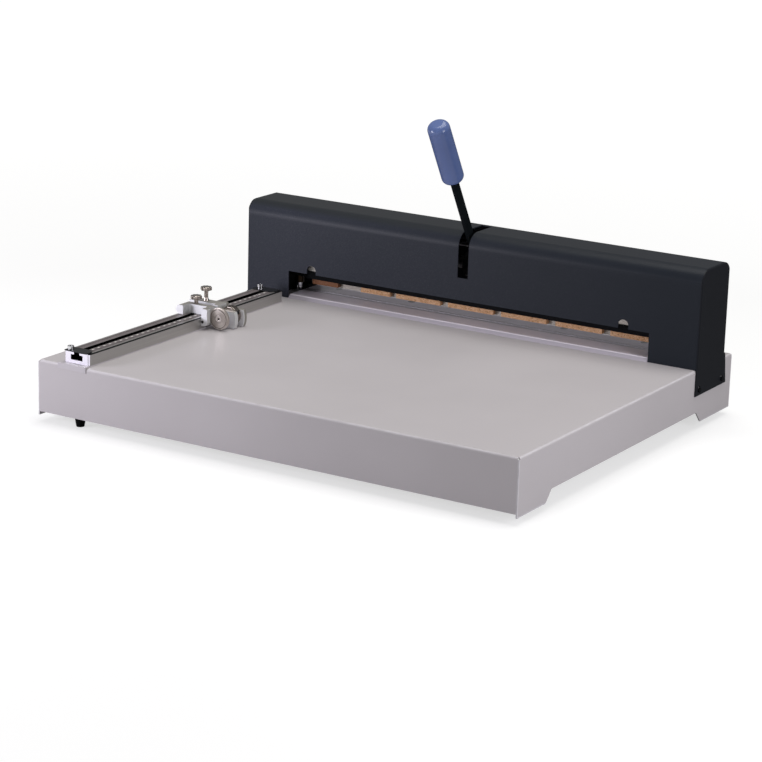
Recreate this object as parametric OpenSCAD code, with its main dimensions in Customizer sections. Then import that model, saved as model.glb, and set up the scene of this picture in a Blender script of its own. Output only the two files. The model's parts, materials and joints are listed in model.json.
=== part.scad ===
// Desktop paper creasing machine: a folded sheet table with a side rail and a paper stop,
// and a covered press beam with a creasing blade, pulled down by a hand lever.
// Millimetres, +Z up. The origin is the middle of the footprint, on the surface it stands on.
// X runs along the creasing blade, and -Y faces the person who uses it.

/* [Base] */
// Width of the table, along the blade
base_w = 600; // [560:10:640]
// Depth of the table, front to back
base_d = 498; // [480:2:520]
// Height of the front panel
panel_h = 59; // [50:1:70]
// Thickness of the folded base sheet
sheet_t = 1.5; // [1:0.1:2]
// Outer radius of the folds round the table top
fold_r = 3; // [2.2:0.1:4]
// Width of the lips folded inwards under the front and the back
lip_w = 25; // [20:1:30]
// Width of the lips folded inwards under the sides
side_lip_w = 14; // [10:1:20]
// How far the side panels' feet reach below the front panel
tab_drop = 4; // [2:0.5:6]
// How far the cut between those feet rises above the front panel's lower edge
tab_rise = 8.8; // [6:0.2:12]
// Length of the front foot of a side panel
front_tab_l = 59; // [50:1:70]
// Length of the rear foot of a side panel
rear_tab_l = 76; // [60:1:90]
// Length of each slanted cut beside a foot
tab_slant = 12; // [8:1:16]
// Radius of the relief hole at a front corner of the table
relief_r = 1.3; // [0.8:0.1:2]

/* [Feet] */
// Height of a rubber foot
foot_h = 12; // [8:0.5:16]
// Diameter of a rubber foot at its top
foot_top_d = 13; // [10:0.5:18]
// Diameter of a rubber foot at the floor
foot_low_d = 9; // [6:0.5:9.5]
// Distance of the feet from the sides of the table
foot_side = 48; // [38:1:60]
// Distance of the feet from the front and the back
foot_inset = 12.5; // [11:0.5:14]
// Distance of the front right foot from the front
right_foot_y = 44; // [38:1:50]
// Side of a corner plate that carries a foot
gusset = 64; // [60:1:76]

/* [Bed] */
// From a side of the table to the end of the creasing bed
bed_side = 59.5; // [58:0.5:70]
// Height of the bed's top above the table
bed_h = 4.6; // [3:0.2:6]
// Front edge of the bed, before the line of the shaft
bed_lead = 37; // [34:0.5:38]
// Depth of the bed
bed_d = 70; // [66:1:72]
// Length of the slope on the bed's front and back edges
bed_slope = 4; // [2:0.5:6]
// Width of the creasing matrix strip
matrix_w = 12; // [10:0.5:14]
// Thickness of the creasing matrix strip
matrix_t = 3; // [2:0.2:4]
// Width of the groove in the matrix
groove_w = 1.7; // [1.5:0.1:2]
// Depth of the groove in the matrix
groove_depth = 0.9; // [0.6:0.1:1.2]

/* [Rail] */
// Middle of the rail, from the left side of the table
rail_side = 47.5; // [46:0.5:54]
// Width of the rail
rail_w = 30.5; // [28:0.5:34]
// Height of the rail
rail_h = 12.8; // [12:0.1:16]
// Front end of the rail, from the front of the machine
rail_y = 7; // [5:0.5:12]
// Gap between the rail's back end and the cover
rail_back_gap = 23.5; // [14:0.5:44]
// Thickness of the fence along the rail's right side
fence_t = 3; // [2:0.5:4]
// Length of the plates over the rail's ends
cap_l = 15; // [12:0.5:16]
// Thickness of the plates over the rail's ends
cap_t = 1.2; // [0.8:0.1:1.6]
// Width of the mouth of the rail's T slot
slot_mouth_w = 7.5; // [5:0.5:8]
// Depth of the mouth of the rail's T slot
slot_mouth_h = 3.2; // [2:0.2:4]
// Width of the wide part of the T slot
slot_w = 16; // [12:0.5:16]
// Height of the wide part of the T slot
slot_h = 6; // [4:0.2:6]
// Width of a scale strip
strip_w = 9; // [7:0.5:10]
// Thickness of a scale strip
strip_t = 0.6; // [0.4:0.1:0.8]
// Thickness of the seat plate under the rail
seat_t = 1.2; // [1:0.1:1.6]
// How far the seat plate shows on the left of the rail
seat_margin = 4.5; // [2:0.5:14]

/* [Cover] */
// Height of the cover above the table
cover_h = 113; // [108:1:120]
// Front of the cover, before the line of the shaft
cover_lead = 36.5; // [35:0.5:38]
// Depth of the cover
cover_d = 73.5; // [70:0.5:78]
// Thickness of the cover's sheet
cover_t = 1.2; // [1:0.1:1.6]
// Radius of the long bends at the top of the cover
cover_r = 18; // [12:0.5:22]
// Radius of the edges round the cover's ends
cover_edge_r = 2.6; // [1.8:0.1:3.5]
// From the end of the bed to the side of the opening for the paper
throat_side = 0.5; // [0.4:0.1:4]
// Height of the opening for the paper above the table
throat_h = 33.5; // [32:0.5:34]
// How far the end plates reach down over the base
flap_drop = 30; // [24:1:36]
// Depth of the end plates where they lie over the base
flap_d = 79.5; // [76:0.5:86]
// Width of the slot that the lever swings in
lever_slot_w = 14; // [10:0.5:16]
// Width of an arched notch in front of a beam bolt
notch_w = 13; // [12:0.5:15]
// Height of an arched notch
notch_h = 10.5; // [9:0.5:12]
// Distance of the arched notches and their bolts from the beam's ends
notch_side = 22.5; // [17:0.5:31]

/* [Press] */
// Height of the lever's shaft above the table
pivot_h = 70; // [68:0.5:72]
// Line of the shaft, the posts and the beam, from the back of the machine
press_back = 60; // [58:0.5:62]
// Diameter of the cross shaft
shaft_d = 14; // [12:0.5:16]
// Gap between the pads and the bed with the lever up
pad_gap = 9.4; // [9.4:0.1:10]
// How far the beam comes down
stroke = 9.1; // [7:0.1:9.1]
// Turn of the lever that brings the beam down, in degrees
lever_turn = 58; // [50:1:60]
// Lean of the lever towards the front when it is up, in degrees
lever_lean = 30.5; // [26:0.5:34]
// Radius of a cam under the shaft with the lever up
cam_r = 14; // [13:0.5:15]
// Thickness of a cam
cam_t = 12; // [8:0.5:16]
// From the bolt in a notch to the middle of the cam beside it
cam_side = 58.5; // [38.5:0.5:88.5]
// From the end of the bed to the end of the press beam, inwards
beam_side = 9.5; // [6:0.5:10]
// Thickness of the press beam
beam_t = 10; // [8:0.5:11]
// Height of the press beam
beam_h = 28; // [26:0.5:30]
// Thickness of the black bar along the beam's front
front_bar_t = 2.5; // [2:0.1:4]
// Height of the black bar along the beam's front
front_bar_h = 9; // [7:0.2:9]
// Diameter of the round heads of the beam bolts
beam_bolt_head_d = 16; // [14:0.5:18]
// Height of the pads
pad_h = 7.6; // [6:0.2:9]
// Thickness of the pads
pad_t = 5.8; // [4:0.1:6.5]
// Thickness of the creasing blade
blade_t = 1; // [0.8:0.1:1.2]
// How far the blade stands below the pads
blade_proud = 0.5; // [0.3:0.1:0.7]
// Thickness of the bar that clamps the blade
clamp_t = 7; // [5:0.5:9]
// Height of the bar that clamps the blade
clamp_h = 11; // [9.5:0.5:11]

/* [Guides] */
// From the end of the bed to the middle of a guide post
post_side = 8.5; // [7:0.5:10]
// Diameter of a guide post
post_d = 8; // [7:0.5:9]
// Outer diameter of a guide bush
bush_d = 12; // [11.5:0.5:14]
// Height of the lower end of a guide bush above the table
bush_low_h = 12.5; // [12:0.5:14]
// Thickness of an end frame plate
frame_t = 8; // [6:0.5:10]
// Depth of an end frame plate
frame_d = 56; // [50:1:60]
// Height of an end frame above the table
frame_h = 100; // [96:1:104]
// From the end of the bed to an end frame
frame_side = 21.5; // [20.5:0.5:28]
// Diameter of the tie rod between the end frames
tie_d = 8; // [6:0.5:10]
// Wire diameter of a return spring
wire_d = 1.2; // [1:0.1:1.4]
// Radius of a return spring's curls, to the middle of the wire
curl_r = 3.8; // [3:0.1:4.5]
// Number of curls in a return spring
curls = 11; // [8:1:14]

/* [Lever] */
// Width of the lever bar
lever_w = 11; // [9:0.5:13]
// Thickness of the lever bar
lever_t = 5; // [4:0.5:7]
// Length of the lever, from the shaft to the top of its grip
lever_l = 209; // [190:1:230]
// Length of the grip
grip_l = 82; // [70:1:100]
// Diameter of the grip
grip_d = 26; // [20:0.5:28]
// Diameter of the hub on the shaft
hub_d = 30; // [26:1:32]

/* [Paper stop] */
// Front of the clamp saddle, from the front of the machine
gauge_y = 212; // [205:1:230]
// Distance from the clamp saddle's front to the stop saddle's front
saddle_pitch = 29; // [28.5:0.5:32]
// Height of the saddles above the rail
saddle_h = 10.6; // [9:0.2:12]
// Diameter of the dial that faces the front
dial_d = 26; // [22:0.5:27]
// Thickness of the dial
dial_t = 4; // [3:0.2:4]
// Diameter of the knurled drum
drum_d = 22; // [18:0.5:23]
// Diameter of the fine adjusting spindle
spindle_d = 6; // [5:0.5:7]
// Travel of the fine adjustment each way from the middle
fine_travel = 2; // [1:0.1:2]
// Thickness of a fork plate beside the drum
fork_t = 6; // [5:0.5:7]
// Reach of the fork plates beyond the rail
fork_reach = 31; // [30:0.5:40]
// Height of the fork plates
fork_h = 19.5; // [19:0.5:23]
// Diameter of a thumb screw's head
thumb_d = 13.5; // [10:0.5:14]
// Height of a thumb screw's head
thumb_h = 4.6; // [3:0.2:5]
// Diameter of a thumb screw's shank
thumb_shank_d = 4.8; // [3:0.2:5]

/* [Fits] */
// Gap round a shaft that turns or slides in a bore
fit_gap = 0.05; // [0.02:0.01:0.08]
// Gap between pieces that pass each other
run_gap = 0.3; // [0.25:0.05:0.5]
// Gap under the dial and the fork plates
table_gap = 0.6; // [0.4:0.1:1]

/* [Hidden] */

// Facets of a drawn circle; round faces stay true whatever it is
$fn = 48;
// Overrun of a cut past the face that it leaves
over = 1;

// Widths and lines that the pieces share
bed_w = base_w - 2 * bed_side;
throat_w = bed_w + 2 * throat_side;
beam_w = bed_w - 2 * beam_side;
notch_x = beam_w / 2 - notch_side;
cam_x = notch_x - cam_side;
post_x = bed_w / 2 + post_side;
frame_x = bed_w / 2 + frame_side;
rail_x = base_w / 2 - rail_side;
foot_x = base_w / 2 - foot_side;

// Levels and lines that the pieces share
table_z = foot_h + panel_h;
front = (seat_t - base_d) / 2;
back = front + base_d;
tab_z = foot_h - tab_drop;
throat_z = table_z + throat_h;
pivot_y = back - press_back;
cover_front = pivot_y - cover_lead;
rail_l = cover_front - rail_back_gap - front - rail_y;
pivot_z = table_z + pivot_h;
bed_top = table_z + bed_h;
pad_z = bed_top + pad_gap;
beam_z = pad_z + pad_h;
beam_top = beam_z + beam_h;
blade_z = pad_z - blade_proud;
cam_lift = stroke / (lever_turn * PI / 180);
side_inner = base_w / 2 - sheet_t;
cover_half = base_w / 2 + run_gap + cover_t;
cover_top = table_z + cover_h;

// Small fixed sizes of the fasteners
m6_d = 6;
m6_head_d = 11;
m6_head_h = 3.6;
m6_nut_d = 11.5;
m6_nut_h = 5;
m5_d = 5;
m5_head_d = 8.5;
m5_head_h = 3.2;
m4_d = 4;
m4_head_d = 7;
m4_head_h = 2.4;
screw_gap = 0.2;

// Draws a 2D outline given in Y and Z, swept along X between two places
module along_x(x0, x1) {
  translate([x0, 0, 0]) rotate([90, 0, 90]) linear_extrude(x1 - x0) children();
}

// Draws a 2D outline given in X and Z, swept along Y between two places
module along_y(y0, y1) {
  translate([0, y1, 0]) rotate([90, 0, 0]) linear_extrude(y1 - y0) children();
}

// A box between two corners
module block(low, high) {
  translate(low) cube(high - low);
}

// A round bar along X, Y or Z between two places
module bar_x(d, x0, x1, y, z) {
  translate([x0, y, z]) rotate([0, 90, 0]) cylinder(d = d, h = x1 - x0);
}
module bar_y(d, x, y0, y1, z) {
  translate([x, y1, z]) rotate([90, 0, 0]) cylinder(d = d, h = y1 - y0);
}
module bar_z(d, x, y, z0, z1) {
  translate([x, y, z0]) cylinder(d = d, h = z1 - z0);
}

// A rectangle from (a0, b0) to (a1, b1) whose two upper corners are round
module arched(a0, a1, b0, b1, r) {
  translate([a0, b0]) square([a1 - a0, b1 - r - b0]);
  translate([a0 + r, b0]) square([a1 - a0 - 2 * r, b1 - b0]);
  for (a = [a0 + r, a1 - r]) translate([a, b1 - r]) circle(r = r);
}

// A rectangle from (a0, b0) to (a1, b1) whose four corners are round
module rounded(a0, a1, b0, b1, r) {
  translate([a0, b0 + r]) square([a1 - a0, b1 - b0 - 2 * r]);
  translate([a0 + r, b0]) square([a1 - a0 - 2 * r, b1 - b0]);
  for (a = [a0 + r, a1 - r]) for (b = [b0 + r, b1 - r]) translate([a, b]) circle(r = r);
}

// A screw along Z with a domed head, its thread down and its head's seat at z
module dome_screw(x, y, z, d, head_d, head_h, l) {
  bar_z(d, x, y, z - l, z + head_h / 2);
  translate([x, y, z]) rotate_extrude() intersection() {
    square([head_d / 2, head_h]);
    translate([0, head_h - dome_r(head_d, head_h)]) circle(r = dome_r(head_d, head_h));
  }
}
function dome_r(d, h) = (d * d / 4 + h * h) / (2 * h);

/* Base */

// The four feet: each is [x, y]
feet = [
  [-foot_x, front + foot_inset],
  [foot_x, front + right_foot_y],
  [-foot_x, back - foot_inset],
  [foot_x, back - foot_inset]
];

// Where the end frames and the posts are fastened through the table
frame_bolt_x = frame_x + frame_t / 2;
frame_bolt_dy = frame_d / 2 - m6_head_d;

// The outline of the folded tray, kept at a distance t inside its outer faces
module tray(t, low) {
  r = fold_r - t;
  intersection() {
    along_x(-base_w / 2, base_w / 2) arched(front + t, back - t, low, table_z - t, r);
    along_y(front - over, back + over) arched(t - base_w / 2, base_w / 2 - t, low, table_z - t, r);
  }
}

module table_bolt_holes() {
  for (s = [-1, 1]) {
    for (v = [-1, 1]) {
      bar_z(m6_d + screw_gap, s * frame_bolt_x, pivot_y + v * frame_bolt_dy, tab_z, table_z + over);
    }
    bar_z(m6_d + screw_gap, s * post_x, pivot_y, tab_z, table_z + over);
  }
  for (p = bed_bolts) bar_z(m5_d + screw_gap, p[0], p[1], tab_z, table_z + over);
  for (y = rail_bolts) bar_z(m4_d + screw_gap, rail_bolt_x, y, tab_z, table_z + over);
}

module base_shell() color([0.74, 0.72, 0.74]) {
  rear_tab = back - rear_tab_l;
  mid_z = foot_h + tab_rise;
  difference() {
    tray(0, tab_z);
    tray(sheet_t, tab_z - over);
    block([-side_inner, front - over, tab_z - over], [side_inner, back + over, foot_h]);
    along_x(-base_w / 2 - over, base_w / 2 + over) polygon([
      [front + front_tab_l, tab_z - over],
      [front + front_tab_l, tab_z],
      [front + front_tab_l + tab_slant, mid_z],
      [rear_tab - tab_slant, mid_z],
      [rear_tab, tab_z],
      [rear_tab, tab_z - over]
    ]);
    for (s = [-1, 1]) {
      bar_z(2 * relief_r, s * (base_w / 2 - relief_r), front + relief_r, table_z - fold_r, table_z + over);
      cover_bolt_holes(s, base_w / 2 + over);
    }
    table_bolt_holes();
  }
  for (s = [-1, 1]) {
    lip = s > 0 ? side_inner - side_lip_w : -side_inner;
    block([lip, front + front_tab_l + 2 * tab_slant, mid_z],
      [lip + side_lip_w, rear_tab - 2 * tab_slant, mid_z + sheet_t]);
  }
  difference() {
    for (y = [front + sheet_t, back - lip_w]) {
      block([-side_inner, y, foot_h], [side_inner, y + lip_w - sheet_t, foot_h + sheet_t]);
    }
    for (f = feet) bar_z(m4_d + screw_gap, f[0], f[1], foot_h - over, foot_h + sheet_t + over);
  }
}

// Plates in the four corners, on the lips, that carry the feet
plate_top = foot_h + 2 * sheet_t;
module corner_plates() color([0.6, 0.6, 0.62]) difference() {
  for (s = [-1, 1]) for (v = [-1, 1]) {
    along = s > 0 ? side_inner - run_gap - gusset : -side_inner + run_gap;
    deep = v > 0 ? back - sheet_t - run_gap - gusset : front + sheet_t + run_gap;
    block([along, deep, foot_h + sheet_t], [along + gusset, deep + gusset, plate_top]);
  }
  for (f = feet) bar_z(m4_d + screw_gap, f[0], f[1], foot_h, plate_top + over);
}

// Two channels across the inside that stiffen the table
brace_h = 22;
brace_w = 40;
front_brace_y = 149.4;
brace_screw_gap = 25.6;
module cross_braces() color([0.6, 0.6, 0.62])
for (y = [front + front_brace_y, rail_bolts[1] - brace_screw_gap - brace_w]) {
  top = table_z - sheet_t;
  reach = base_w / 2 - fold_r - run_gap;
  difference() {
    block([-reach, y, top - brace_h], [reach, y + brace_w, top]);
    block([-reach - over, y + sheet_t, top - brace_h - over], [reach + over, y + brace_w - sheet_t, top - sheet_t]);
  }
}

// The seat of a foot under its lip or, for the front right one, under its corner plate
function foot_seat(f) = f == feet[1] ? foot_h + sheet_t : foot_h;
foot_sole = 3;

module rubber_feet() color([0.06, 0.06, 0.06]) for (f = feet) translate([f[0], f[1], 0]) difference() {
  cylinder(d1 = foot_low_d, d2 = foot_top_d, h = foot_seat(f));
  translate([0, 0, foot_sole]) cylinder(d = m4_d + screw_gap, h = foot_h);
}

// Studs that stand in the feet, with nuts on the corner plates
foot_nut_d = 8;
foot_nut_h = 3.2;
module foot_studs() color([0.7, 0.7, 0.72]) for (f = feet) translate([f[0], f[1], 0]) {
  translate([0, 0, foot_sole + screw_gap]) cylinder(d = m4_d, h = plate_top + foot_nut_h - foot_sole);
  translate([0, 0, plate_top]) cylinder(d = foot_nut_d, h = foot_nut_h, $fn = 6);
}

/* Bed */

matrix_y = pivot_y + blade_t / 2;
bed_bolt_dy = 24;
bed_bolt_shares = [-0.86, -0.43, 0.43, 0.86];
bed_bolts = [for (k = bed_bolt_shares) [k * bed_w / 2, matrix_y + bed_bolt_dy]];

module creasing_bed() color([0.7, 0.68, 0.71]) {
  y0 = pivot_y - bed_lead;
  y1 = y0 + bed_d;
  difference() {
    along_x(-bed_w / 2, bed_w / 2) polygon([
      [y0, table_z],
      [y0 + bed_slope, bed_top],
      [y1 - bed_slope, bed_top],
      [y1, table_z]
    ]);
    block([-bed_w / 2 - over, matrix_y - matrix_w / 2, bed_top - matrix_t],
      [bed_w / 2 + over, matrix_y + matrix_w / 2, bed_top + over]);
    for (p = bed_bolts) {
      bar_z(m5_d + screw_gap, p[0], p[1], table_z - over, bed_top + over);
      bar_z(m5_head_d + screw_gap, p[0], p[1], bed_top - m5_head_h, bed_top + over);
    }
  }
}

// Hardened strip with the groove that the blade presses into
module crease_matrix() color([0.55, 0.55, 0.57]) difference() {
  block([-bed_w / 2, matrix_y - matrix_w / 2, bed_top - matrix_t], [bed_w / 2, matrix_y + matrix_w / 2, bed_top]);
  block([-bed_w / 2 - over, matrix_y - groove_w / 2, bed_top - groove_depth],
    [bed_w / 2 + over, matrix_y + groove_w / 2, bed_top + over]);
}

module bed_screws() color([0.7, 0.7, 0.72]) for (p = bed_bolts) {
  bar_z(m5_head_d, p[0], p[1], bed_top - m5_head_h, bed_top - screw_gap);
  bar_z(m5_d, p[0], p[1], table_z - sheet_t - m5_head_h, bed_top - m5_head_h);
}

// Black blocks behind the posts, beside the ends of the bed
end_block_w = 20;
end_block_d = 12;
end_block_h = 8;
end_slot_w = 2.4;
module bed_end_blocks() color([0.08, 0.08, 0.09]) for (s = [-1, 1]) {
  x = s * (bed_w / 2 + run_gap + end_block_w / 2);
  y = pivot_y + post_d + end_block_d / 2;
  top = table_z + end_block_h;
  difference() {
    block([x - end_block_w / 2, y - end_block_d / 2, table_z], [x + end_block_w / 2, y + end_block_d / 2, top]);
    block([x - end_block_w / 4, y - end_slot_w / 2, top - end_slot_w], [x + end_block_w / 4, y + end_slot_w / 2, top + over]);
  }
}

/* Rail */

rail_z = table_z + seat_t;
rail_top = rail_z + rail_h;
rail_left = -rail_x - rail_w / 2;
rail_inner = -rail_x + rail_w / 2;
rail_right = rail_inner + fence_t;
rail_front = front + rail_y;
rail_back = rail_front + rail_l;
rail_bolt_set = 4.4;
rail_bolt_x = rail_left + rail_bolt_set;
rail_bolt_inset = 3.6;
rail_bolts = [rail_front + rail_bolt_inset, rail_back - rail_bolt_inset];
rail_head_d = 7.2;
rail_head_h = 3.8;
rail_key_d = 3;
cap_lip = 2;
cap_r = 8;
cap_top = rail_top + cap_t;
seat_lip_h = 5;
seat_right = rail_right - run_gap;
strip_gap = 0.6;
strip_out = slot_mouth_w / 2 + strip_gap + strip_w / 2;

module rail_seat() color([0.74, 0.72, 0.74]) difference() {
  union() {
    block([rail_left - seat_margin, front - seat_t, table_z], [seat_right, rail_back, rail_z]);
    block([rail_left - seat_margin, front - seat_t, table_z - seat_lip_h], [seat_right, front, rail_z]);
  }
  for (y = rail_bolts) bar_z(m4_d + screw_gap, rail_bolt_x, y, table_z - over, rail_z + over);
}

module gauge_rail() color([0.66, 0.66, 0.66]) difference() {
  block([rail_left, rail_front, rail_z], [rail_inner, rail_back, rail_top]);
  block([-rail_x - slot_mouth_w / 2, rail_front - over, rail_top - slot_mouth_h - over],
    [-rail_x + slot_mouth_w / 2, rail_back + over, rail_top + over]);
  block([-rail_x - slot_w / 2, rail_front - over, rail_top - slot_mouth_h - slot_h],
    [-rail_x + slot_w / 2, rail_back + over, rail_top - slot_mouth_h]);
  for (s = [-1, 1]) {
    x = -rail_x + s * strip_out;
    block([x - strip_w / 2, rail_front - over, rail_top - strip_t], [x + strip_w / 2, rail_back + over, rail_top + over]);
  }
  for (y = rail_bolts) bar_z(m4_d + screw_gap, rail_bolt_x, y, rail_z - over, rail_top + over);
}

// The straight plate along the rail's right side that the paper lies against
module rail_fence() color([0.66, 0.66, 0.66])
  block([rail_inner, rail_front, rail_z], [rail_right, rail_back, rail_top - strip_t]);

// Strips beside the slot that carry the scale, and a black one on the fence
module scale_strips() color([0.3, 0.28, 0.27]) {
  for (s = [-1, 1]) {
    x = -rail_x + s * strip_out;
    low = rail_top - strip_t;
    difference() {
      block([x - strip_w / 2, rail_front, low], [x + strip_w / 2, rail_back, rail_top]);
      for (y = rail_bolts) bar_z(m4_d + screw_gap, rail_bolt_x, y, low - over, rail_top + over);
    }
  }
  block([rail_inner, rail_front, rail_top - strip_t], [rail_right, rail_back, rail_top]);
}

// Black plates over the rail's ends; the front one stands out a little
module rail_caps() color([0.08, 0.08, 0.09]) for (v = [-1, 1]) {
  y0 = v < 0 ? rail_front - cap_lip : rail_back - cap_l;
  round_y = v < 0 ? y0 + cap_l - cap_r : y0 + cap_r;
  translate([0, 0, rail_top]) linear_extrude(cap_t) difference() {
    union() {
      translate([rail_left, y0]) square([rail_inner - rail_left - cap_r, cap_l]);
      translate([rail_left, v < 0 ? y0 : y0 + cap_r]) square([rail_inner - rail_left, cap_l - cap_r]);
      translate([rail_inner - cap_r, round_y]) circle(r = cap_r);
    }
    for (y = rail_bolts) translate([rail_bolt_x, y]) circle(d = m4_d + screw_gap);
  }
}

module rail_screws() color([0.8, 0.8, 0.82]) for (y = rail_bolts) difference() {
  union() {
    bar_z(m4_d, rail_bolt_x, y, table_z - sheet_t - m4_head_h, cap_top);
    bar_z(rail_head_d, rail_bolt_x, y, cap_top, cap_top + rail_head_h);
  }
  translate([rail_bolt_x, y, cap_top + rail_head_h / 2]) cylinder(d = rail_key_d, h = rail_head_h, $fn = 6);
}

/* Cover */

flap_z = table_z - flap_drop;
flap_rise = 7.2;
flap_top = table_z + flap_rise;
flap_lean = 1.2;
flap_r = 3;
cover_head_d = 5.6;
cover_head_h = 1.6;
cover_back = cover_front + cover_d;
cover_bolt_inset = 9.5;
cover_bolt_far = 11;
cover_bolt_rise = 6;
cover_bolt_z = flap_z + cover_bolt_rise;
cover_slot_l = 7;
lever_slot_drop = 10;
lever_slot_z = pivot_z - lever_slot_drop;
lever_slot_reach = 17;
lever_slot_back = pivot_y + lever_slot_reach;
function cover_bolt_ys() = [cover_front + cover_bolt_inset, cover_front + flap_d - cover_bolt_far];

// Holes in a side panel for the screws that hold the cover
module cover_bolt_holes(s, reach) {
  for (y = cover_bolt_ys()) {
    x = s > 0 ? side_inner - over : -reach;
    bar_x(m4_d + screw_gap, x, x + reach - side_inner + over, y, cover_bolt_z);
  }
}

// The outside of the cover, kept at a distance t inside its outer faces
module hood(t, low) {
  r = cover_r - t;
  e = cover_edge_r - t;
  intersection() {
    along_x(t - cover_half, cover_half - t) arched(cover_front + t, cover_back - t, low, cover_top - t, r);
    along_y(cover_front - over, cover_back + over) arched(t - cover_half, cover_half - t, low, cover_top - t, e);
    translate([0, 0, low - over]) linear_extrude(cover_top - low + 2 * over)
      rounded(t - cover_half, cover_half - t, cover_front + t, cover_back - t, e);
  }
}

module cover() color([0.17, 0.19, 0.23]) difference() {
  wall = base_w / 2 + run_gap;
  union() {
    difference() {
      hood(0, table_z + run_gap);
      hood(cover_t, table_z - over);
    }
    for (s = [-1, 1]) {
      x = s > 0 ? wall : -wall - cover_t;
      along_x(x, x + cover_t) polygon([
        [cover_front + cover_edge_r, flap_z],
        [cover_front + flap_d, flap_z],
        [cover_back + flap_lean, flap_top - flap_r],
        [cover_back - flap_r, flap_top],
        [cover_front + cover_edge_r, flap_top]
      ]);
      block([x, cover_front, flap_z], [x + cover_t, cover_front + flap_d / 2, table_z + run_gap]);
    }
  }
  block([-throat_w / 2, cover_front - over, table_z], [throat_w / 2, cover_back + over, throat_z]);
  block([-lever_slot_w / 2, cover_front - over, lever_slot_z], [lever_slot_w / 2, lever_slot_back, cover_top + over]);
  for (s = [-1, 1]) {
    along_y(cover_front - over, cover_front + 2 * cover_t) translate([s * notch_x, 0]) {
      translate([-notch_w / 2, throat_z - over]) square([notch_w, notch_h - notch_w / 2 + over]);
      translate([0, throat_z + notch_h - notch_w / 2]) circle(d = notch_w);
    }
    for (y = cover_bolt_ys()) {
      x = s > 0 ? wall : -wall - cover_t;
      along_x(x - over, x + cover_t + over) upright_slot(y, cover_bolt_z, m4_d + screw_gap, cover_slot_l);
    }
  }
}

// An upright slot with round ends, its lower end's centre at (y, z)
module upright_slot(y, z, w, l) {
  for (b = [z, z + l - w]) translate([y, b]) circle(d = w);
  translate([y - w / 2, z]) square([w, l - w]);
}

module cover_screws() color([0.15, 0.15, 0.16]) for (s = [-1, 1]) for (y = cover_bolt_ys()) {
  x0 = s > 0 ? side_inner - m4_head_h : -cover_half - cover_head_h;
  bar_x(m4_d, x0, x0 + cover_half + m4_head_h + cover_head_h - side_inner, y, cover_bolt_z);
  h0 = s > 0 ? cover_half : -cover_half - cover_head_h;
  bar_x(cover_head_d, h0, h0 + cover_head_h, y, cover_bolt_z);
}

/* Press frame */

arm_t = 8;
arm_gap = 4;
arm_z = beam_top + arm_gap - arm_t / 2;
arm_d = 24;
tie_back = 17;
tie_rise = 19;
tie_y = pivot_y + tie_back;
tie_z = pivot_z + tie_rise;
bush_wall = 4;
bush_flange_t = 2;
bush_flange_w = 5;
frame_corner_r = 11;
frame_bolt_l = 22;

// A plate on the table with an arm that holds the post's top; s is the side
module end_frame(s) color([0.3, 0.3, 0.32]) {
  x0 = s > 0 ? frame_x : -frame_x - frame_t;
  arm_x0 = s > 0 ? post_x - arm_d / 2 : -frame_x;
  arm_x1 = s > 0 ? frame_x : -post_x + arm_d / 2;
  difference() {
    union() {
      along_x(x0, x0 + frame_t)
        arched(pivot_y - frame_d / 2, pivot_y + frame_d / 2, table_z, table_z + frame_h, frame_corner_r);
      block([arm_x0, pivot_y - arm_d / 2, arm_z], [arm_x1, pivot_y + arm_d / 2, arm_z + arm_t]);
    }
    bar_x(shaft_d + 2 * bush_wall + 2 * fit_gap, x0 - over, x0 + frame_t + over, pivot_y, pivot_z);
    bar_x(tie_d + screw_gap, x0 - over, x0 + frame_t + over, tie_y, tie_z);
    bar_z(post_d + screw_gap, s * post_x, pivot_y, arm_z - over, arm_z + arm_t + over);
    for (v = [-1, 1]) {
      bar_z(m6_d + screw_gap, s * frame_bolt_x, pivot_y + v * frame_bolt_dy, table_z - over, table_z + frame_bolt_l);
    }
  }
}
module left_end_frame() end_frame(-1);
module right_end_frame() end_frame(1);

module frame_screws() color([0.7, 0.7, 0.72]) for (s = [-1, 1]) for (v = [-1, 1]) {
  y = pivot_y + v * frame_bolt_dy;
  under = table_z - sheet_t;
  bar_z(m6_head_d, s * frame_bolt_x, y, under - m6_head_h, under);
  bar_z(m6_d, s * frame_bolt_x, y, under, table_z + frame_bolt_l - over);
}

// Bushes with a flange on the inner side of each end frame
module shaft_bushes() color([0.72, 0.53, 0.3]) for (s = [-1, 1]) {
  x0 = s > 0 ? frame_x : -frame_x - frame_t;
  f0 = s > 0 ? frame_x - bush_flange_t : -frame_x;
  difference() {
    union() {
      bar_x(shaft_d + 2 * bush_wall, x0, x0 + frame_t, pivot_y, pivot_z);
      bar_x(shaft_d + 2 * bush_flange_w, f0, f0 + bush_flange_t, pivot_y, pivot_z);
    }
    bar_x(shaft_d + 2 * fit_gap, f0 - 2 * frame_t, f0 + 2 * frame_t, pivot_y, pivot_z);
  }
}

module guide_posts() color([0.85, 0.85, 0.87]) for (s = [-1, 1]) {
  x = s * post_x;
  bar_z(post_d, x, pivot_y, table_z, arm_z + arm_t);
  bar_z(m6_d, x, pivot_y, table_z - sheet_t - m6_nut_h - over, table_z);
}

module post_nuts() color([0.7, 0.7, 0.72]) for (s = [-1, 1]) translate([s * post_x, pivot_y, table_z - sheet_t - m6_nut_h]) {
  difference() {
    cylinder(d = m6_nut_d, h = m6_nut_h, $fn = 6);
    translate([0, 0, -over]) cylinder(d = m6_d + screw_gap, h = m6_nut_h + 2 * over);
  }
}

module tie_rod() color([0.7, 0.7, 0.72]) {
  end = frame_x + frame_t;
  bar_x(tie_d, -end - over, end + over, tie_y, tie_z);
}

/* Press beam */

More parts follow.
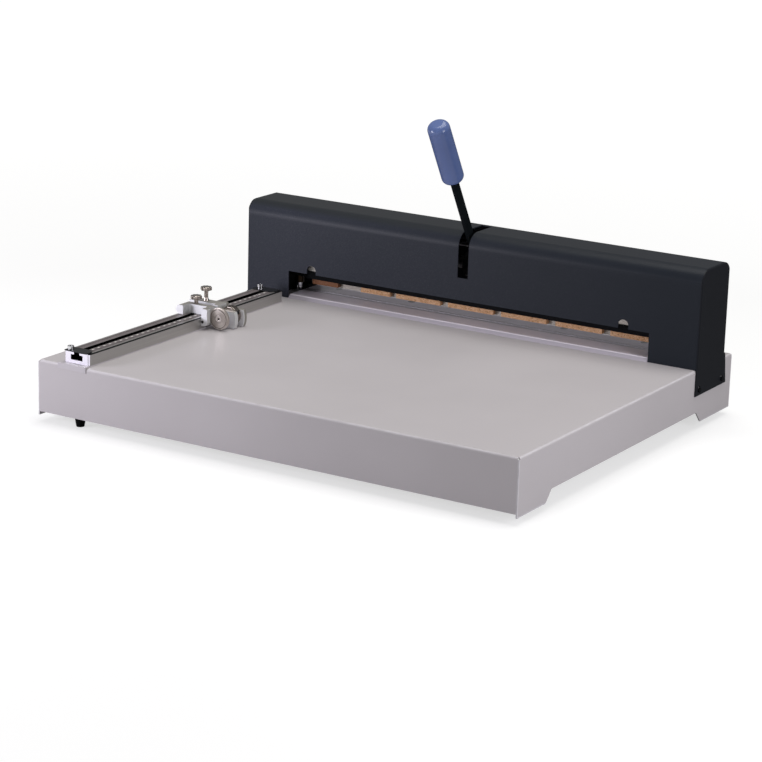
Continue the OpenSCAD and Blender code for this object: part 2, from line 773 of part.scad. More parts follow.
beam_front = pivot_y - beam_t;
beam_reach = beam_w / 2;
guide_block_h = 20;
guide_block_d = 30;
guide_block_rise = 2;
guide_block_z = beam_z + guide_block_rise;
blade_back = pivot_y + blade_t;
clamp_back = blade_back + clamp_t;
clamp_bolts = 7;
clamp_bolt_z = beam_z + clamp_h / 2;
clamp_bolt_pitch = beam_w / (clamp_bolts + 1);
clamp_bolt_xs = [for (i = [1 : clamp_bolts]) i * clamp_bolt_pitch - beam_reach];
clamp_thread_share = 0.7;
beam_bolt_z = beam_z + front_bar_h + run_gap + beam_bolt_head_d / 2;
beam_bolt_head_h = 4;
beam_bolt_key_d = 5.8;
strap_w = 14;
strap_t = 3;
strap_back = pivot_y + strap_t;
strap_end = 5;
strap_leg_z = beam_z + clamp_h + run_gap;

// Holes along Y through the beam and the straps behind it for the beam bolts
module beam_bolt_holes() {
  for (s = [-1, 1]) bar_y(m6_d + screw_gap, s * notch_x, beam_front - over, strap_back + over, beam_bolt_z);
}

module press_beam() color([0.62, 0.62, 0.63]) difference() {
  block([-beam_reach, beam_front, beam_z], [beam_reach, pivot_y, beam_top]);
  beam_bolt_holes();
  for (x = clamp_bolt_xs) bar_y(m5_d, x, pivot_y - beam_t * clamp_thread_share, pivot_y + over, clamp_bolt_z);
}

module front_bar() color([0.08, 0.08, 0.09])
  block([-beam_reach, beam_front - front_bar_t, beam_z], [beam_reach, beam_front, beam_z + front_bar_h]);

// Round-headed bolts through the beam and the straps behind it, with nuts at the back
module beam_bolts() color([0.8, 0.8, 0.82]) for (s = [-1, 1]) {
  reach = strap_back - beam_front + m6_nut_h;
  translate([s * notch_x, beam_front, beam_bolt_z]) rotate([90, 0, 0]) {
    difference() {
      dome_screw(0, 0, 0, m6_d, beam_bolt_head_d, beam_bolt_head_h, reach + over);
      translate([0, 0, beam_bolt_head_h / 2]) cylinder(d = beam_bolt_key_d, h = beam_bolt_head_h, $fn = 6);
    }
    translate([0, 0, -reach]) cylinder(d = m6_nut_d, h = m6_nut_h, $fn = 6);
  }
}

// Blocks on the ends of the beam that slide on the posts
guide_side_gap = 1;
module guide_blocks() color([0.09, 0.09, 0.1]) for (s = [-1, 1]) {
  outer = frame_x - guide_side_gap;
  x0 = s > 0 ? beam_reach : -outer;
  difference() {
    block([x0, pivot_y - guide_block_d / 2, guide_block_z],
      [x0 + outer - beam_reach, pivot_y + guide_block_d / 2, guide_block_z + guide_block_h]);
    bar_z(bush_d + 2 * fit_gap, s * post_x, pivot_y, guide_block_z - over, guide_block_z + guide_block_h + over);
  }
}

module guide_bushes() color([0.6, 0.42, 0.24]) for (s = [-1, 1]) difference() {
  bar_z(bush_d, s * post_x, pivot_y, table_z + bush_low_h, guide_block_z + guide_block_h);
  bar_z(post_d + 2 * fit_gap, s * post_x, pivot_y, table_z, guide_block_z + guide_block_h + over);
}

module crease_blade() color([0.78, 0.77, 0.73]) difference() {
  block([-beam_reach, pivot_y, blade_z], [beam_reach, blade_back, beam_z + clamp_h]);
  for (x = clamp_bolt_xs) bar_y(m5_d + screw_gap, x, pivot_y - over, blade_back + over, clamp_bolt_z);
}

module blade_clamp() color([0.3, 0.3, 0.32]) difference() {
  block([-beam_reach, blade_back, beam_z], [beam_reach, clamp_back, beam_z + clamp_h]);
  for (x = clamp_bolt_xs) bar_y(m5_d + screw_gap, x, pivot_y, clamp_back + over, clamp_bolt_z);
}

module blade_screws() color([0.7, 0.7, 0.72]) for (x = clamp_bolt_xs) {
  bar_y(m5_head_d, x, clamp_back, clamp_back + m5_head_h, clamp_bolt_z);
  bar_y(m5_d - screw_gap, x, pivot_y - beam_t / 2, clamp_back, clamp_bolt_z);
}

// Ends of the seven pads along the blade, as shares of the beam's half length
pad_shares = [
  [-0.98, -0.82],
  [-0.68, -0.5],
  [-0.465, -0.2],
  [-0.155, 0.11],
  [0.155, 0.415],
  [0.465, 0.725],
  [0.77, 0.98]
];
module cork_pads() color([0.72, 0.55, 0.38]) for (p = pad_shares) {
  block([p[0] * beam_w / 2, pivot_y - pad_t, pad_z], [p[1] * beam_w / 2, pivot_y, beam_z]);
}

// Hardened pads on the beam, each under a cam
cam_pad_w = 20;
cam_pad_gap = 0.3;
module cam_pads() color([0.6, 0.6, 0.62]) for (s = [-1, 1]) {
  x = s * cam_x;
  block([x - cam_pad_w / 2, beam_front - front_bar_t, beam_top], [x + cam_pad_w / 2, pivot_y, pivot_z - cam_r - cam_pad_gap]);
}

// Bent straps over the beam, bolted to its back, that the return springs pull up
module spring_straps() color([0.6, 0.6, 0.62]) difference() {
  for (s = [-1, 1]) {
    x0 = s * notch_x - strap_w / 2;
    block([x0, beam_front, beam_top], [x0 + strap_w, tie_y + strap_end, beam_top + strap_t]);
    block([x0, pivot_y, strap_leg_z], [x0 + strap_w, strap_back, beam_top]);
  }
  beam_bolt_holes();
}

/* Return springs */

// Each spring hangs from the tie rod and holds the strap on the beam
rings_per_curl = 8;
spring_low = beam_top + strap_t;
spring_high = tie_z - tie_d / 2;
spring_end = 2;
curl_steps = curls * rings_per_curl;
curl_pitch = (spring_high - spring_low - 2 * spring_end) / (curls + 1);
spring_half_turn = rings_per_curl / 2;
function spring_radius(i) = curl_r * min(1, i / spring_half_turn, (curl_steps + rings_per_curl - i) / spring_half_turn);
spring_curl_path = [for (i = [0 : curl_steps + rings_per_curl]) [
  spring_radius(i) * cos(i * 360 / rings_per_curl),
  spring_radius(i) * sin(i * 360 / rings_per_curl),
  spring_low + spring_end + i * curl_pitch / rings_per_curl
]];
spring_path = concat([[0, 0, spring_low]], spring_curl_path, [[0, 0, spring_high]]);
spring_gap = min([for (i = [0 : len(spring_path) - 1]) for (j = [i + 1 : 1 : len(spring_path) - 1])
  if (j - i >= rings_per_curl - 1) norm(spring_path[i] - spring_path[j])]) - wire_d;
echo(least_gap_of_a_return_spring_to_itself = spring_gap);

wire_sides = 6;
function unit(v) = v / norm(v);
function path_way(p, i) = unit(p[min(i + 1, len(p) - 1)] - p[max(i - 1, 0)]);
function path_side(p, i) = i == 0 ? [1, 0, 0] : i == len(p) - 1 ? [1, 0, 0]
  : unit(cross([-sin((i - 1) * 360 / rings_per_curl), cos((i - 1) * 360 / rings_per_curl), 0], [0, 0, 1]));
function path_ring(p, i) =
  let (w = path_way(p, i), a = unit(path_side(p, i) - (path_side(p, i) * w) * w), b = cross(w, a))
  [for (k = [0 : wire_sides - 1]) p[i] + wire_d / 2 * (a * cos(k * 360 / wire_sides) + b * sin(k * 360 / wire_sides))];

// A tube of triangles along a path, closed by a fan at each end
module wire(p) {
  n = len(p);
  points = [for (i = [0 : n - 1]) each path_ring(p, i)];
  sides = [for (i = [0 : n - 2]) for (k = [0 : wire_sides - 1])
    let (a = i * wire_sides + k, b = i * wire_sides + (k + 1) % wire_sides)
    each [[a, a + wire_sides, b], [b, a + wire_sides, b + wire_sides]]];
  low = [for (k = [1 : wire_sides - 2]) [0, k, k + 1]];
  high = [for (k = [1 : wire_sides - 2]) [(n - 1) * wire_sides, (n - 1) * wire_sides + k + 1, (n - 1) * wire_sides + k]];
  polyhedron(points, concat(sides, low, high));
}

module return_springs() color([0.6, 0.6, 0.62]) for (s = [-1, 1]) translate([s * notch_x, tie_y, 0]) wire(spring_path);

/* Lever and shaft */

shaft_stub = 8;
shaft_end = frame_x + frame_t + shaft_stub;
module cross_shaft() color([0.75, 0.75, 0.77]) bar_x(shaft_d, -shaft_end, shaft_end, pivot_y, pivot_z);

// A cam's reach below the shaft grows evenly as the shaft turns, so its edge is an involute
cam_steps = 16;
cam_spare = 12;
function cam_reach(t) = cam_r + cam_lift * t * PI / 180;
function cam_point(t) = [-sin(t) * cam_reach(t) - cam_lift * cos(t), -cos(t) * cam_reach(t) + cam_lift * sin(t)];
cam_edge = [for (i = [0 : cam_steps]) cam_point(-cam_spare + i * (lever_turn + 2 * cam_spare) / cam_steps)];

module press_cams() color([0.5, 0.5, 0.53]) for (s = [-1, 1]) {
  x0 = s * cam_x - cam_t / 2;
  difference() {
    along_x(x0, x0 + cam_t) translate([pivot_y, pivot_z]) {
      circle(r = cam_r - run_gap);
      polygon(concat([[0, 0]], cam_edge));
    }
    bar_x(shaft_d + 2 * fit_gap, x0 - over, x0 + cam_t + over, pivot_y, pivot_z);
  }
}

collar_w = 6;
module shaft_collars() color([0.15, 0.15, 0.16]) for (s = [-1, 1]) {
  gap = frame_x + frame_t + run_gap;
  x0 = s > 0 ? gap : -gap - collar_w;
  difference() {
    bar_x(shaft_d + 2 * bush_wall, x0, x0 + collar_w, pivot_y, pivot_z);
    bar_x(shaft_d + 2 * fit_gap, x0 - over, x0 + collar_w + over, pivot_y, pivot_z);
  }
}

// Draws its children, given with the lever upright at the origin, at the lever's lean
module leaning() {
  translate([0, pivot_y, pivot_z]) rotate([lever_lean, 0, 0]) children();
}

hub_w = 26;
module lever_hub() color([0.12, 0.12, 0.13]) leaning() difference() {
  bar_x(hub_d, -hub_w / 2, hub_w / 2, 0, 0);
  bar_x(shaft_d + 2 * fit_gap, -hub_w / 2 - over, hub_w / 2 + over, 0, 0);
  block([-lever_t / 2, -lever_w / 2, shaft_d / 2], [lever_t / 2, lever_w / 2, hub_d / 2 + over]);
  for (s = [-1, 1]) bar_y(m5_d, s * hub_w / 3, shaft_d / 2 - over, hub_d / 2 + over, 0);
}

module hub_screws() color([0.1, 0.1, 0.1]) leaning() for (s = [-1, 1]) {
  bar_y(m5_d - screw_gap, s * hub_w / 3, shaft_d / 2 + fit_gap, hub_d / 2 - over, 0);
}

grip_bore_share = 0.8;
grip_bore_l = grip_l * grip_bore_share;
module lever_bar() color([0.08, 0.09, 0.1]) leaning() {
  block([-lever_t / 2, -lever_w / 2, shaft_d / 2 + fit_gap], [lever_t / 2, lever_w / 2, lever_l - grip_l + grip_bore_l]);
}

grip_top_r = 7.5;
grip_low_r = 6.5;
module lever_grip() color([0.3, 0.37, 0.53]) leaning() difference() {
  low = lever_l - grip_l;
  r = grip_d / 2;
  rotate_extrude() intersection() {
    translate([0, low]) square([r, grip_l]);
    union() {
      translate([0, low + grip_low_r]) square([r, grip_l - grip_low_r - grip_top_r]);
      translate([0, low]) square([r - grip_low_r, grip_l]);
      translate([0, lever_l - 2 * grip_top_r]) square([r - grip_top_r, 2 * grip_top_r]);
      translate([r - grip_low_r, low + grip_low_r]) circle(r = grip_low_r);
      translate([r - grip_top_r, lever_l - grip_top_r]) circle(r = grip_top_r);
    }
  }
  block([-lever_t / 2, -lever_w / 2, low - over], [lever_t / 2, lever_w / 2, low + grip_bore_l]);
}

/* Paper stop */

// The clamp saddle: a bar over the rail, an arm to the front on each end, and an ear for the spindle
clamp_y = front + gauge_y;
saddle_z = rail_top + run_gap;
saddle_top = saddle_z + saddle_h;
saddle_hang = 4;
side_x = rail_right + run_gap;
side_t = 4.4;
lug_w = 8;
lug_t = 6.5;
lug_edge_r = 1.5;
lug_low_r = 4;
leg_rise = 5;
leg_z = table_z + leg_rise;
arm_x = rail_left - saddle_hang / 2;
arm_w = 10;
arm_reach = 12;
arm_fillet_r = 4;
clamp_d = 8;
clamp_bar_y = clamp_y + arm_reach;
clamp_back_y = clamp_bar_y + clamp_d;
leg_hole_d = 3.4;
leg_hole_set = 1.7;
leg_hole_rise = 4.5;
clamp_screw_y = clamp_bar_y + clamp_d / 2;

// The dial, the ear behind it and the fork, one behind the other along the spindle
spindle_x = side_x + side_t + run_gap + dial_d / 2;
spindle_z = table_z + table_gap + dial_d / 2;
dial_set = 9;
dial_y = clamp_y + dial_set;
ear_t = 6;
ear_r = 7;
end_gap = 0.5;
ear_y = dial_y + dial_t + fine_travel + end_gap;
fork_y = ear_y + ear_t + fine_travel + end_gap;
drum_l = 9;
drum_y = fork_y + fork_t + end_gap;
fork_back_y = drum_y + drum_l + end_gap;

// The stop saddle, which carries the fork
stop_y = clamp_y + saddle_pitch;
stop_d = 13;
stop_screw_y = stop_y + stop_d / 2;
stop_side_t = 5.8;
stop_side_rise = 3;
fork_z = table_z + table_gap;
fork_arc_r = 26;
fork_back_over = 1;
fork_end = rail_right + fork_reach;

// The outline of the left arm, round on its outer side
module arm_outline() {
  r = arm_w / 2;
  translate([arm_x + r, saddle_z]) square([arm_w - r, saddle_h]);
  translate([arm_x, saddle_z + r]) square([r, saddle_h - 2 * r]);
  for (z = [saddle_z + r, saddle_top - r]) translate([arm_x + r, z]) circle(r = r);
}

// The outline of the right lug, with a large round corner at its lower right
module lug_outline() {
  x1 = side_x + lug_w;
  translate([side_x, leg_z]) square([lug_w - lug_low_r, saddle_top - lug_edge_r - leg_z]);
  translate([side_x, leg_z + lug_low_r]) square([lug_w, saddle_top - lug_edge_r - leg_z - lug_low_r]);
  translate([x1 - lug_low_r, leg_z + lug_low_r]) circle(r = lug_low_r);
  translate([side_x + lug_edge_r, saddle_top - lug_edge_r]) square([lug_w - 2 * lug_edge_r, lug_edge_r]);
  for (x = [side_x + lug_edge_r, x1 - lug_edge_r]) translate([x, saddle_top - lug_edge_r]) circle(r = lug_edge_r);
}

// A bore for a thumb screw's shank down through a saddle
module shank_bore(y) {
  bar_z(thumb_shank_d + 2 * fit_gap, -rail_x, y, saddle_z - over, saddle_top + over);
}

module clamp_saddle() color([0.86, 0.86, 0.87]) difference() {
  union() {
    block([arm_x + arm_w / 2, clamp_bar_y, saddle_z], [side_x + side_t, clamp_back_y, saddle_top]);
    along_y(clamp_y, clamp_back_y) arm_outline();
    translate([arm_x + arm_w, clamp_bar_y, saddle_z]) linear_extrude(saddle_h) difference() {
      translate([-over, -arm_fillet_r]) square([over + arm_fillet_r, arm_fillet_r + over]);
      translate([arm_fillet_r, -arm_fillet_r]) circle(r = arm_fillet_r);
    }
    along_y(clamp_y, clamp_y + lug_t) lug_outline();
    block([side_x, clamp_y + lug_t / 2, leg_z], [side_x + side_t, clamp_back_y, saddle_top]);
    block([side_x, clamp_bar_y, leg_z], [side_x + side_t, ear_y + ear_t, saddle_z + saddle_h / 2]);
    block([side_x, ear_y, spindle_z - ear_r], [spindle_x, ear_y + ear_t, spindle_z + ear_r]);
    bar_y(2 * ear_r, spindle_x, ear_y, ear_y + ear_t, spindle_z);
  }
  bar_y(spindle_d + 2 * fit_gap, spindle_x, ear_y - over, ear_y + ear_t + over, spindle_z);
  shank_bore(clamp_screw_y);
  bar_y(leg_hole_d, side_x + leg_hole_set, clamp_y - over, clamp_y + lug_t / 2, leg_z + leg_hole_rise);
}

// One plate of the fork, its right end a shallow arc that ends at x
module fork_plate(y, x) {
  along_y(y, y + fork_t) intersection() {
    translate([side_x, fork_z]) square([x - side_x, fork_h]);
    translate([x - fork_arc_r, fork_z + fork_h / 2]) circle(r = fork_arc_r);
  }
}

module stop_saddle() color([0.86, 0.86, 0.87]) difference() {
  side = side_x + stop_side_t;
  union() {
    block([rail_left - saddle_hang, stop_y, saddle_z], [side, stop_y + stop_d, saddle_top]);
    block([side_x, fork_y, table_z + stop_side_rise], [side, fork_back_y + fork_t, saddle_top]);
    fork_plate(fork_y, fork_end);
    fork_plate(fork_back_y, fork_end + fork_back_over);
  }
  bar_y(spindle_d + 2 * fit_gap, spindle_x, fork_y - over, fork_back_y + fork_t / 2, spindle_z);
  shank_bore(stop_screw_y);
}

nut_w = slot_w - 2 * run_gap;
nut_l = 10;
nut_h = 3.6;
nut_z = rail_top - slot_mouth_h - run_gap - nut_h;

// A nut in the rail's slot, on the line of a thumb screw at y
module t_nut(y) color([0.55, 0.55, 0.57]) difference() {
  block([-rail_x - nut_w / 2, y - nut_l / 2, nut_z], [-rail_x + nut_w / 2, y + nut_l / 2, nut_z + nut_h]);
  bar_z(thumb_shank_d + 2 * fit_gap, -rail_x, y, nut_z - over, nut_z + nut_h + over);
}
module clamp_t_nut() t_nut(clamp_screw_y);
module stop_t_nut() t_nut(stop_screw_y);

// Half the section of a round head with chamfered edges, d across and h high
head_edge = 0.8;
module head_section(d, h) {
  polygon([
    [0, 0],
    [d / 2 - head_edge, 0],
    [d / 2, head_edge],
    [d / 2, h - head_edge],
    [d / 2 - head_edge, h],
    [0, h]
  ]);
}

// A thumb screw at y whose head starts at a height above its saddle
clamp_head_rise = 5.6;
stop_head_rise = 12.2;
stop_collar_d = 7;
stop_collar_h = 4;
module thumb_screw(y, rise) color([0.72, 0.69, 0.67]) {
  low = saddle_top + rise;
  bar_z(thumb_shank_d, -rail_x, y, nut_z, low + thumb_h / 2);
  translate([-rail_x, y, low]) rotate_extrude() head_section(thumb_d, thumb_h);
}
module clamp_thumb_screw() thumb_screw(clamp_screw_y, clamp_head_rise);
module stop_thumb_screw() {
  thumb_screw(stop_screw_y, stop_head_rise);
  color([0.72, 0.69, 0.67]) translate([-rail_x, stop_screw_y, saddle_top + run_gap])
    cylinder(d1 = stop_collar_d, d2 = thumb_shank_d - screw_gap, h = stop_collar_h);
}

module fine_spindle() color([0.7, 0.7, 0.72])
  bar_y(spindle_d, spindle_x, dial_y + dial_t, fork_back_y + fork_t / 2 - end_gap, spindle_z);

module knurled_drum() color([0.7, 0.66, 0.63]) difference() {
  translate([spindle_x, drum_y + drum_l, spindle_z]) rotate([90, 0, 0]) rotate_extrude() head_section(drum_d, drum_l);
  bar_y(spindle_d + 2 * fit_gap, spindle_x, drum_y - over, drum_y + drum_l + over, spindle_z);
}

dial_step = 1.2;
dial_screw_sink = 1.6;
dial_screw_gap = 0.2;
module dial() color([0.7, 0.66, 0.63]) difference() {
  union() {
    bar_y(dial_d - 2 * dial_step, spindle_x, dial_y, dial_y + dial_t, spindle_z);
    bar_y(dial_d, spindle_x, dial_y + dial_step, dial_y + dial_t, spindle_z);
  }
  bar_y(m5_head_d + screw_gap, spindle_x, dial_y - over, dial_y + dial_screw_sink, spindle_z);
  bar_y(m4_d + screw_gap, spindle_x, dial_y, dial_y + dial_t + over, spindle_z);
}

dial_key_d = 3.4;
module dial_screw() color([0.75, 0.73, 0.7]) difference() {
  union() {
    bar_y(m5_head_d, spindle_x, dial_y + dial_screw_gap, dial_y + dial_screw_sink, spindle_z);
    bar_y(m4_d, spindle_x, dial_y + dial_screw_sink, dial_y + dial_t, spindle_z);
  }
  translate([spindle_x, dial_y + dial_screw_sink, spindle_z]) rotate([90, 0, 0]) cylinder(d = dial_key_d, h = m4_head_h, $fn = 6);
}

base_shell();
corner_plates();
cross_braces();
rubber_feet();
foot_studs();
creasing_bed();
crease_matrix();
bed_screws();
bed_end_blocks();
rail_seat();
gauge_rail();
rail_fence();
scale_strips();
rail_caps();
rail_screws();
cover();
cover_screws();
left_end_frame();
right_end_frame();
frame_screws();
shaft_bushes();
guide_posts();
post_nuts();
tie_rod();
press_beam();
front_bar();
beam_bolts();
guide_blocks();
guide_bushes();
crease_blade();
blade_clamp();
blade_screws();
cork_pads();
cam_pads();
spring_straps();
return_springs();
cross_shaft();
press_cams();
shaft_collars();
lever_hub();
hub_screws();
lever_bar();
lever_grip();
clamp_saddle();
clamp_t_nut();
clamp_thumb_screw();
stop_saddle();
stop_t_nut();
stop_thumb_screw();
fine_spindle();
knurled_drum();
dial();
dial_screw();
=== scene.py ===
import json
import math

import bmesh
import bpy
from mathutils import Matrix, Vector

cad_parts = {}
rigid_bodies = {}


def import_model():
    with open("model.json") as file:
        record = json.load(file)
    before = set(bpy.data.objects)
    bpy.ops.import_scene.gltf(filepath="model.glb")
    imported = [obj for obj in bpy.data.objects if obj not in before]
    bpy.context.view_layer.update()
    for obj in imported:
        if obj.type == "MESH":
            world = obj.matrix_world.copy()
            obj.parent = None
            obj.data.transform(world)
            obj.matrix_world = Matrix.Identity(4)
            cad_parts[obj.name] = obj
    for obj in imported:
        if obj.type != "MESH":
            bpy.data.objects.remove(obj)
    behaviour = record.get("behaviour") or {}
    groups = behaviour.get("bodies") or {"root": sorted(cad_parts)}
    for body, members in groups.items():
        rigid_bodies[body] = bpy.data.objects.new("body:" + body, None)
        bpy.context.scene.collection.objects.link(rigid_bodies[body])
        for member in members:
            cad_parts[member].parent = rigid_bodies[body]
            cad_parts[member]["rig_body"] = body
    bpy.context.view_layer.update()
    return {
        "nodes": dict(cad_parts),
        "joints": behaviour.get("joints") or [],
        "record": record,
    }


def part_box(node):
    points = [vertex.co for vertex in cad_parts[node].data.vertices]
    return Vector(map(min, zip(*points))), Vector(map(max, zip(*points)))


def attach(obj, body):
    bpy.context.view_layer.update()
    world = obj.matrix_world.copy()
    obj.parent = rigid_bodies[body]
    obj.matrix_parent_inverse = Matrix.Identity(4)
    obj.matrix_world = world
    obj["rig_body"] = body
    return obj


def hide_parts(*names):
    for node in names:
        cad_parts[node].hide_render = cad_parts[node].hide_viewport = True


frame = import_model()
nodes = frame["nodes"]
slots = {s["node"]: s["material_slot"] for s in frame["record"]["subparts"]}

scene = bpy.context.scene
scene.view_settings.view_transform = "Standard"

# Lengths are in metres; X runs to the right, Y to the back and Z up
ALONG_X, ALONG_Y, ALONG_Z = (1, 0, 0), (0, 1, 0), (0, 0, 1)
WHITE = (1, 1, 1, 1)


# ---- Building node trees ----

COLOUR, NUMBER, VECTOR = "NodeSocketColor", "NodeSocketFloat", "NodeSocketVector"
COUNT, MATERIAL = "NodeSocketInt", "NodeSocketMaterial"


def new_group(name, kind, inputs, outputs):
    """An empty node group; returns its tree, its inputs by name and its output node."""
    tree = bpy.data.node_groups.new(name, kind)
    for label, socket_type, value in inputs:
        socket = tree.interface.new_socket(label, in_out="INPUT", socket_type=socket_type)
        if value is not None:
            socket.default_value = value
    for label, socket_type in outputs:
        tree.interface.new_socket(label, in_out="OUTPUT", socket_type=socket_type)
    return tree, tree.nodes.new("NodeGroupInput").outputs, tree.nodes.new("NodeGroupOutput")


def node(tree, kind, links=(), **settings):
    """Adds a node, sets its fields and plain sockets, and joins the sockets given an output."""
    made = tree.nodes.new(kind)
    for key, value in settings.items():
        setattr(made, key, value)
    for socket, source in links:
        if isinstance(source, bpy.types.NodeSocket):
            tree.links.new(source, made.inputs[socket])
        else:
            made.inputs[socket].default_value = source
    return made


def give(tree, receiver, **values):
    """Joins outputs to a node's inputs by name; an underscore stands for a space."""
    for label, value in values.items():
        tree.links.new(value, receiver.inputs[label.replace("_", " ")])


def math_node(tree, operation, a, b=0.0, clamp=False):
    made = node(tree, "ShaderNodeMath", [(0, a), (1, b)], operation=operation, use_clamp=clamp)
    return made.outputs[0]


def vector_node(tree, operation, a, b=(0, 0, 0)):
    made = node(tree, "ShaderNodeVectorMath", [(0, a), (1, b)], operation=operation)
    return made.outputs["Value" if operation in ("LENGTH", "DOT_PRODUCT") else "Vector"]


def combined(tree, x=0.0, y=0.0, z=0.0):
    return node(tree, "ShaderNodeCombineXYZ", [(0, x), (1, y), (2, z)]).outputs[0]


def spread(tree, value, low, high, to_low=0.0, to_high=1.0):
    """Maps the range from low to high onto another range, clamped."""
    made = node(tree, "ShaderNodeMapRange", [
        (0, value), (1, low), (2, high), (3, to_low), (4, to_high)])
    return made.outputs[0]


# ---- Shared shader effects ----

def effect(name, inputs, outputs):
    return new_group(name, "ShaderNodeTree", inputs, outputs)


def object_place(tree):
    return node(tree, "ShaderNodeTexCoord").outputs["Object"]


def noise(tree, vector, scale, detail=2.0, rough=0.5, output="Fac"):
    made = node(tree, "ShaderNodeTexNoise", [
        ("Vector", vector), ("Scale", scale), ("Detail", detail), ("Roughness", rough)])
    return made.outputs[output]


def blend_colour(tree, share, a, b):
    mixed = node(tree, "ShaderNodeMix", [(0, share), (6, a), (7, b)], data_type="RGBA")
    return mixed.outputs[2]


def bumped(tree, height, strength, distance):
    made = node(tree, "ShaderNodeBump", [
        ("Strength", strength), ("Distance", distance), ("Height", height)])
    return made.outputs["Normal"]


def uneven(tree, given, *patterns):
    """An effect's roughness, shifted by how far its patterns stray from their middle."""
    stray = 0.0
    for pattern in patterns:
        stray = math_node(tree, "ADD", stray, math_node(tree, "SUBTRACT", pattern, 0.5))
    shift = math_node(tree, "MULTIPLY", stray, given["Unevenness"])
    return math_node(tree, "ADD", given["Roughness"], shift, clamp=True)


def sprayed_coat():
    """Baked paint: soft patches of a second tone, and the fine pebbling of powder coat."""
    tree, given, out = effect("sprayed_coat", [
        ("Colour", COLOUR, (0.5, 0.5, 0.5, 1)), ("Patches", COLOUR, (0.4, 0.4, 0.4, 1)),
        ("Patch size", NUMBER, 8.0), ("Roughness", NUMBER, 0.4), ("Unevenness", NUMBER, 0.1),
        ("Pebble scale", NUMBER, 900.0), ("Pebble depth", NUMBER, 0.15), ("Flecks", NUMBER, 0.05)],
        [("Colour", COLOUR), ("Roughness", NUMBER), ("Normal", VECTOR)])
    place = object_place(tree)
    broad = noise(tree, place, given["Patch size"], detail=3.0)
    pebble = noise(tree, place, given["Pebble scale"], rough=0.6)
    fleck_scale = math_node(tree, "MULTIPLY", given["Pebble scale"], 2.3)
    fine = noise(tree, place, fleck_scale, detail=1.0)
    toned = blend_colour(tree, spread(tree, broad, 0.35, 0.65), given["Colour"], given["Patches"])
    fleck = math_node(tree, "MULTIPLY", spread(tree, fine, 0.55, 0.75), given["Flecks"])
    give(tree, out, Colour=blend_colour(tree, fleck, toned, WHITE),
         Roughness=uneven(tree, given, broad),
         Normal=bumped(tree, pebble, given["Pebble depth"], distance=0.0002))
    return tree


def drawn_lines():
    """Drawn, brushed or turned metal: streaks along one way, given by the pattern's stretch."""
    tree, given, out = effect("drawn_lines", [
        ("Colour", COLOUR, (0.6, 0.6, 0.6, 1)), ("Streaks", COLOUR, (0.4, 0.4, 0.4, 1)),
        ("Stretch", VECTOR, (600, 6, 600)), ("Roughness", NUMBER, 0.3),
        ("Unevenness", NUMBER, 0.2), ("Depth", NUMBER, 0.1)],
        [("Colour", COLOUR), ("Roughness", NUMBER), ("Normal", VECTOR)])
    place = object_place(tree)
    drawn = vector_node(tree, "MULTIPLY", place, given["Stretch"])
    lines = noise(tree, drawn, scale=1.0, detail=3.0, rough=0.65)
    broad = noise(tree, place, scale=14.0)
    toned = blend_colour(tree, spread(tree, lines, 0.3, 0.7), given["Colour"], given["Streaks"])
    give(tree, out, Colour=toned, Roughness=uneven(tree, given, lines, broad),
         Normal=bumped(tree, lines, given["Depth"], distance=0.0001))
    return tree


def turned_rings():
    """A face turned on a lathe: fine rings round an axis along Y through a given place.

    Reach is the distance from that axis, and Sweep a painted sheen that comes twice round it.
    """
    tree, given, out = effect("turned_rings", [
        ("Centre", VECTOR, (0, 0, 0)), ("Ring scale", NUMBER, 1500.0), ("Roughness", NUMBER, 0.25),
        ("Unevenness", NUMBER, 0.15), ("Depth", NUMBER, 0.1), ("Sweep turn", NUMBER, 4.0)],
        [("Roughness", NUMBER), ("Normal", VECTOR), ("Ring", NUMBER), ("Reach", NUMBER),
         ("Sweep", NUMBER)])
    off = vector_node(tree, "SUBTRACT", object_place(tree), given["Centre"])
    flat = vector_node(tree, "MULTIPLY", off, (1, 0, 1))
    reach = vector_node(tree, "LENGTH", flat)
    along = math_node(tree, "MULTIPLY", reach, given["Ring scale"])
    ring = node(tree, "ShaderNodeTexNoise", [("W", along), ("Scale", 1.0), ("Detail", 2.0)],
                noise_dimensions="1D").outputs["Fac"]
    x, _, z = node(tree, "ShaderNodeSeparateXYZ", [(0, flat)]).outputs
    twice = math_node(tree, "MULTIPLY", math_node(tree, "ARCTAN2", z, x), 2.0)
    painted_sheen = math_node(tree, "COSINE", math_node(tree, "SUBTRACT", twice, given["Sweep turn"]))
    give(tree, out, Roughness=uneven(tree, given, ring),
         Normal=bumped(tree, ring, given["Depth"], distance=0.0001),
         Ring=ring, Reach=reach, Sweep=spread(tree, painted_sheen, -0.2, 1.0))
    return tree


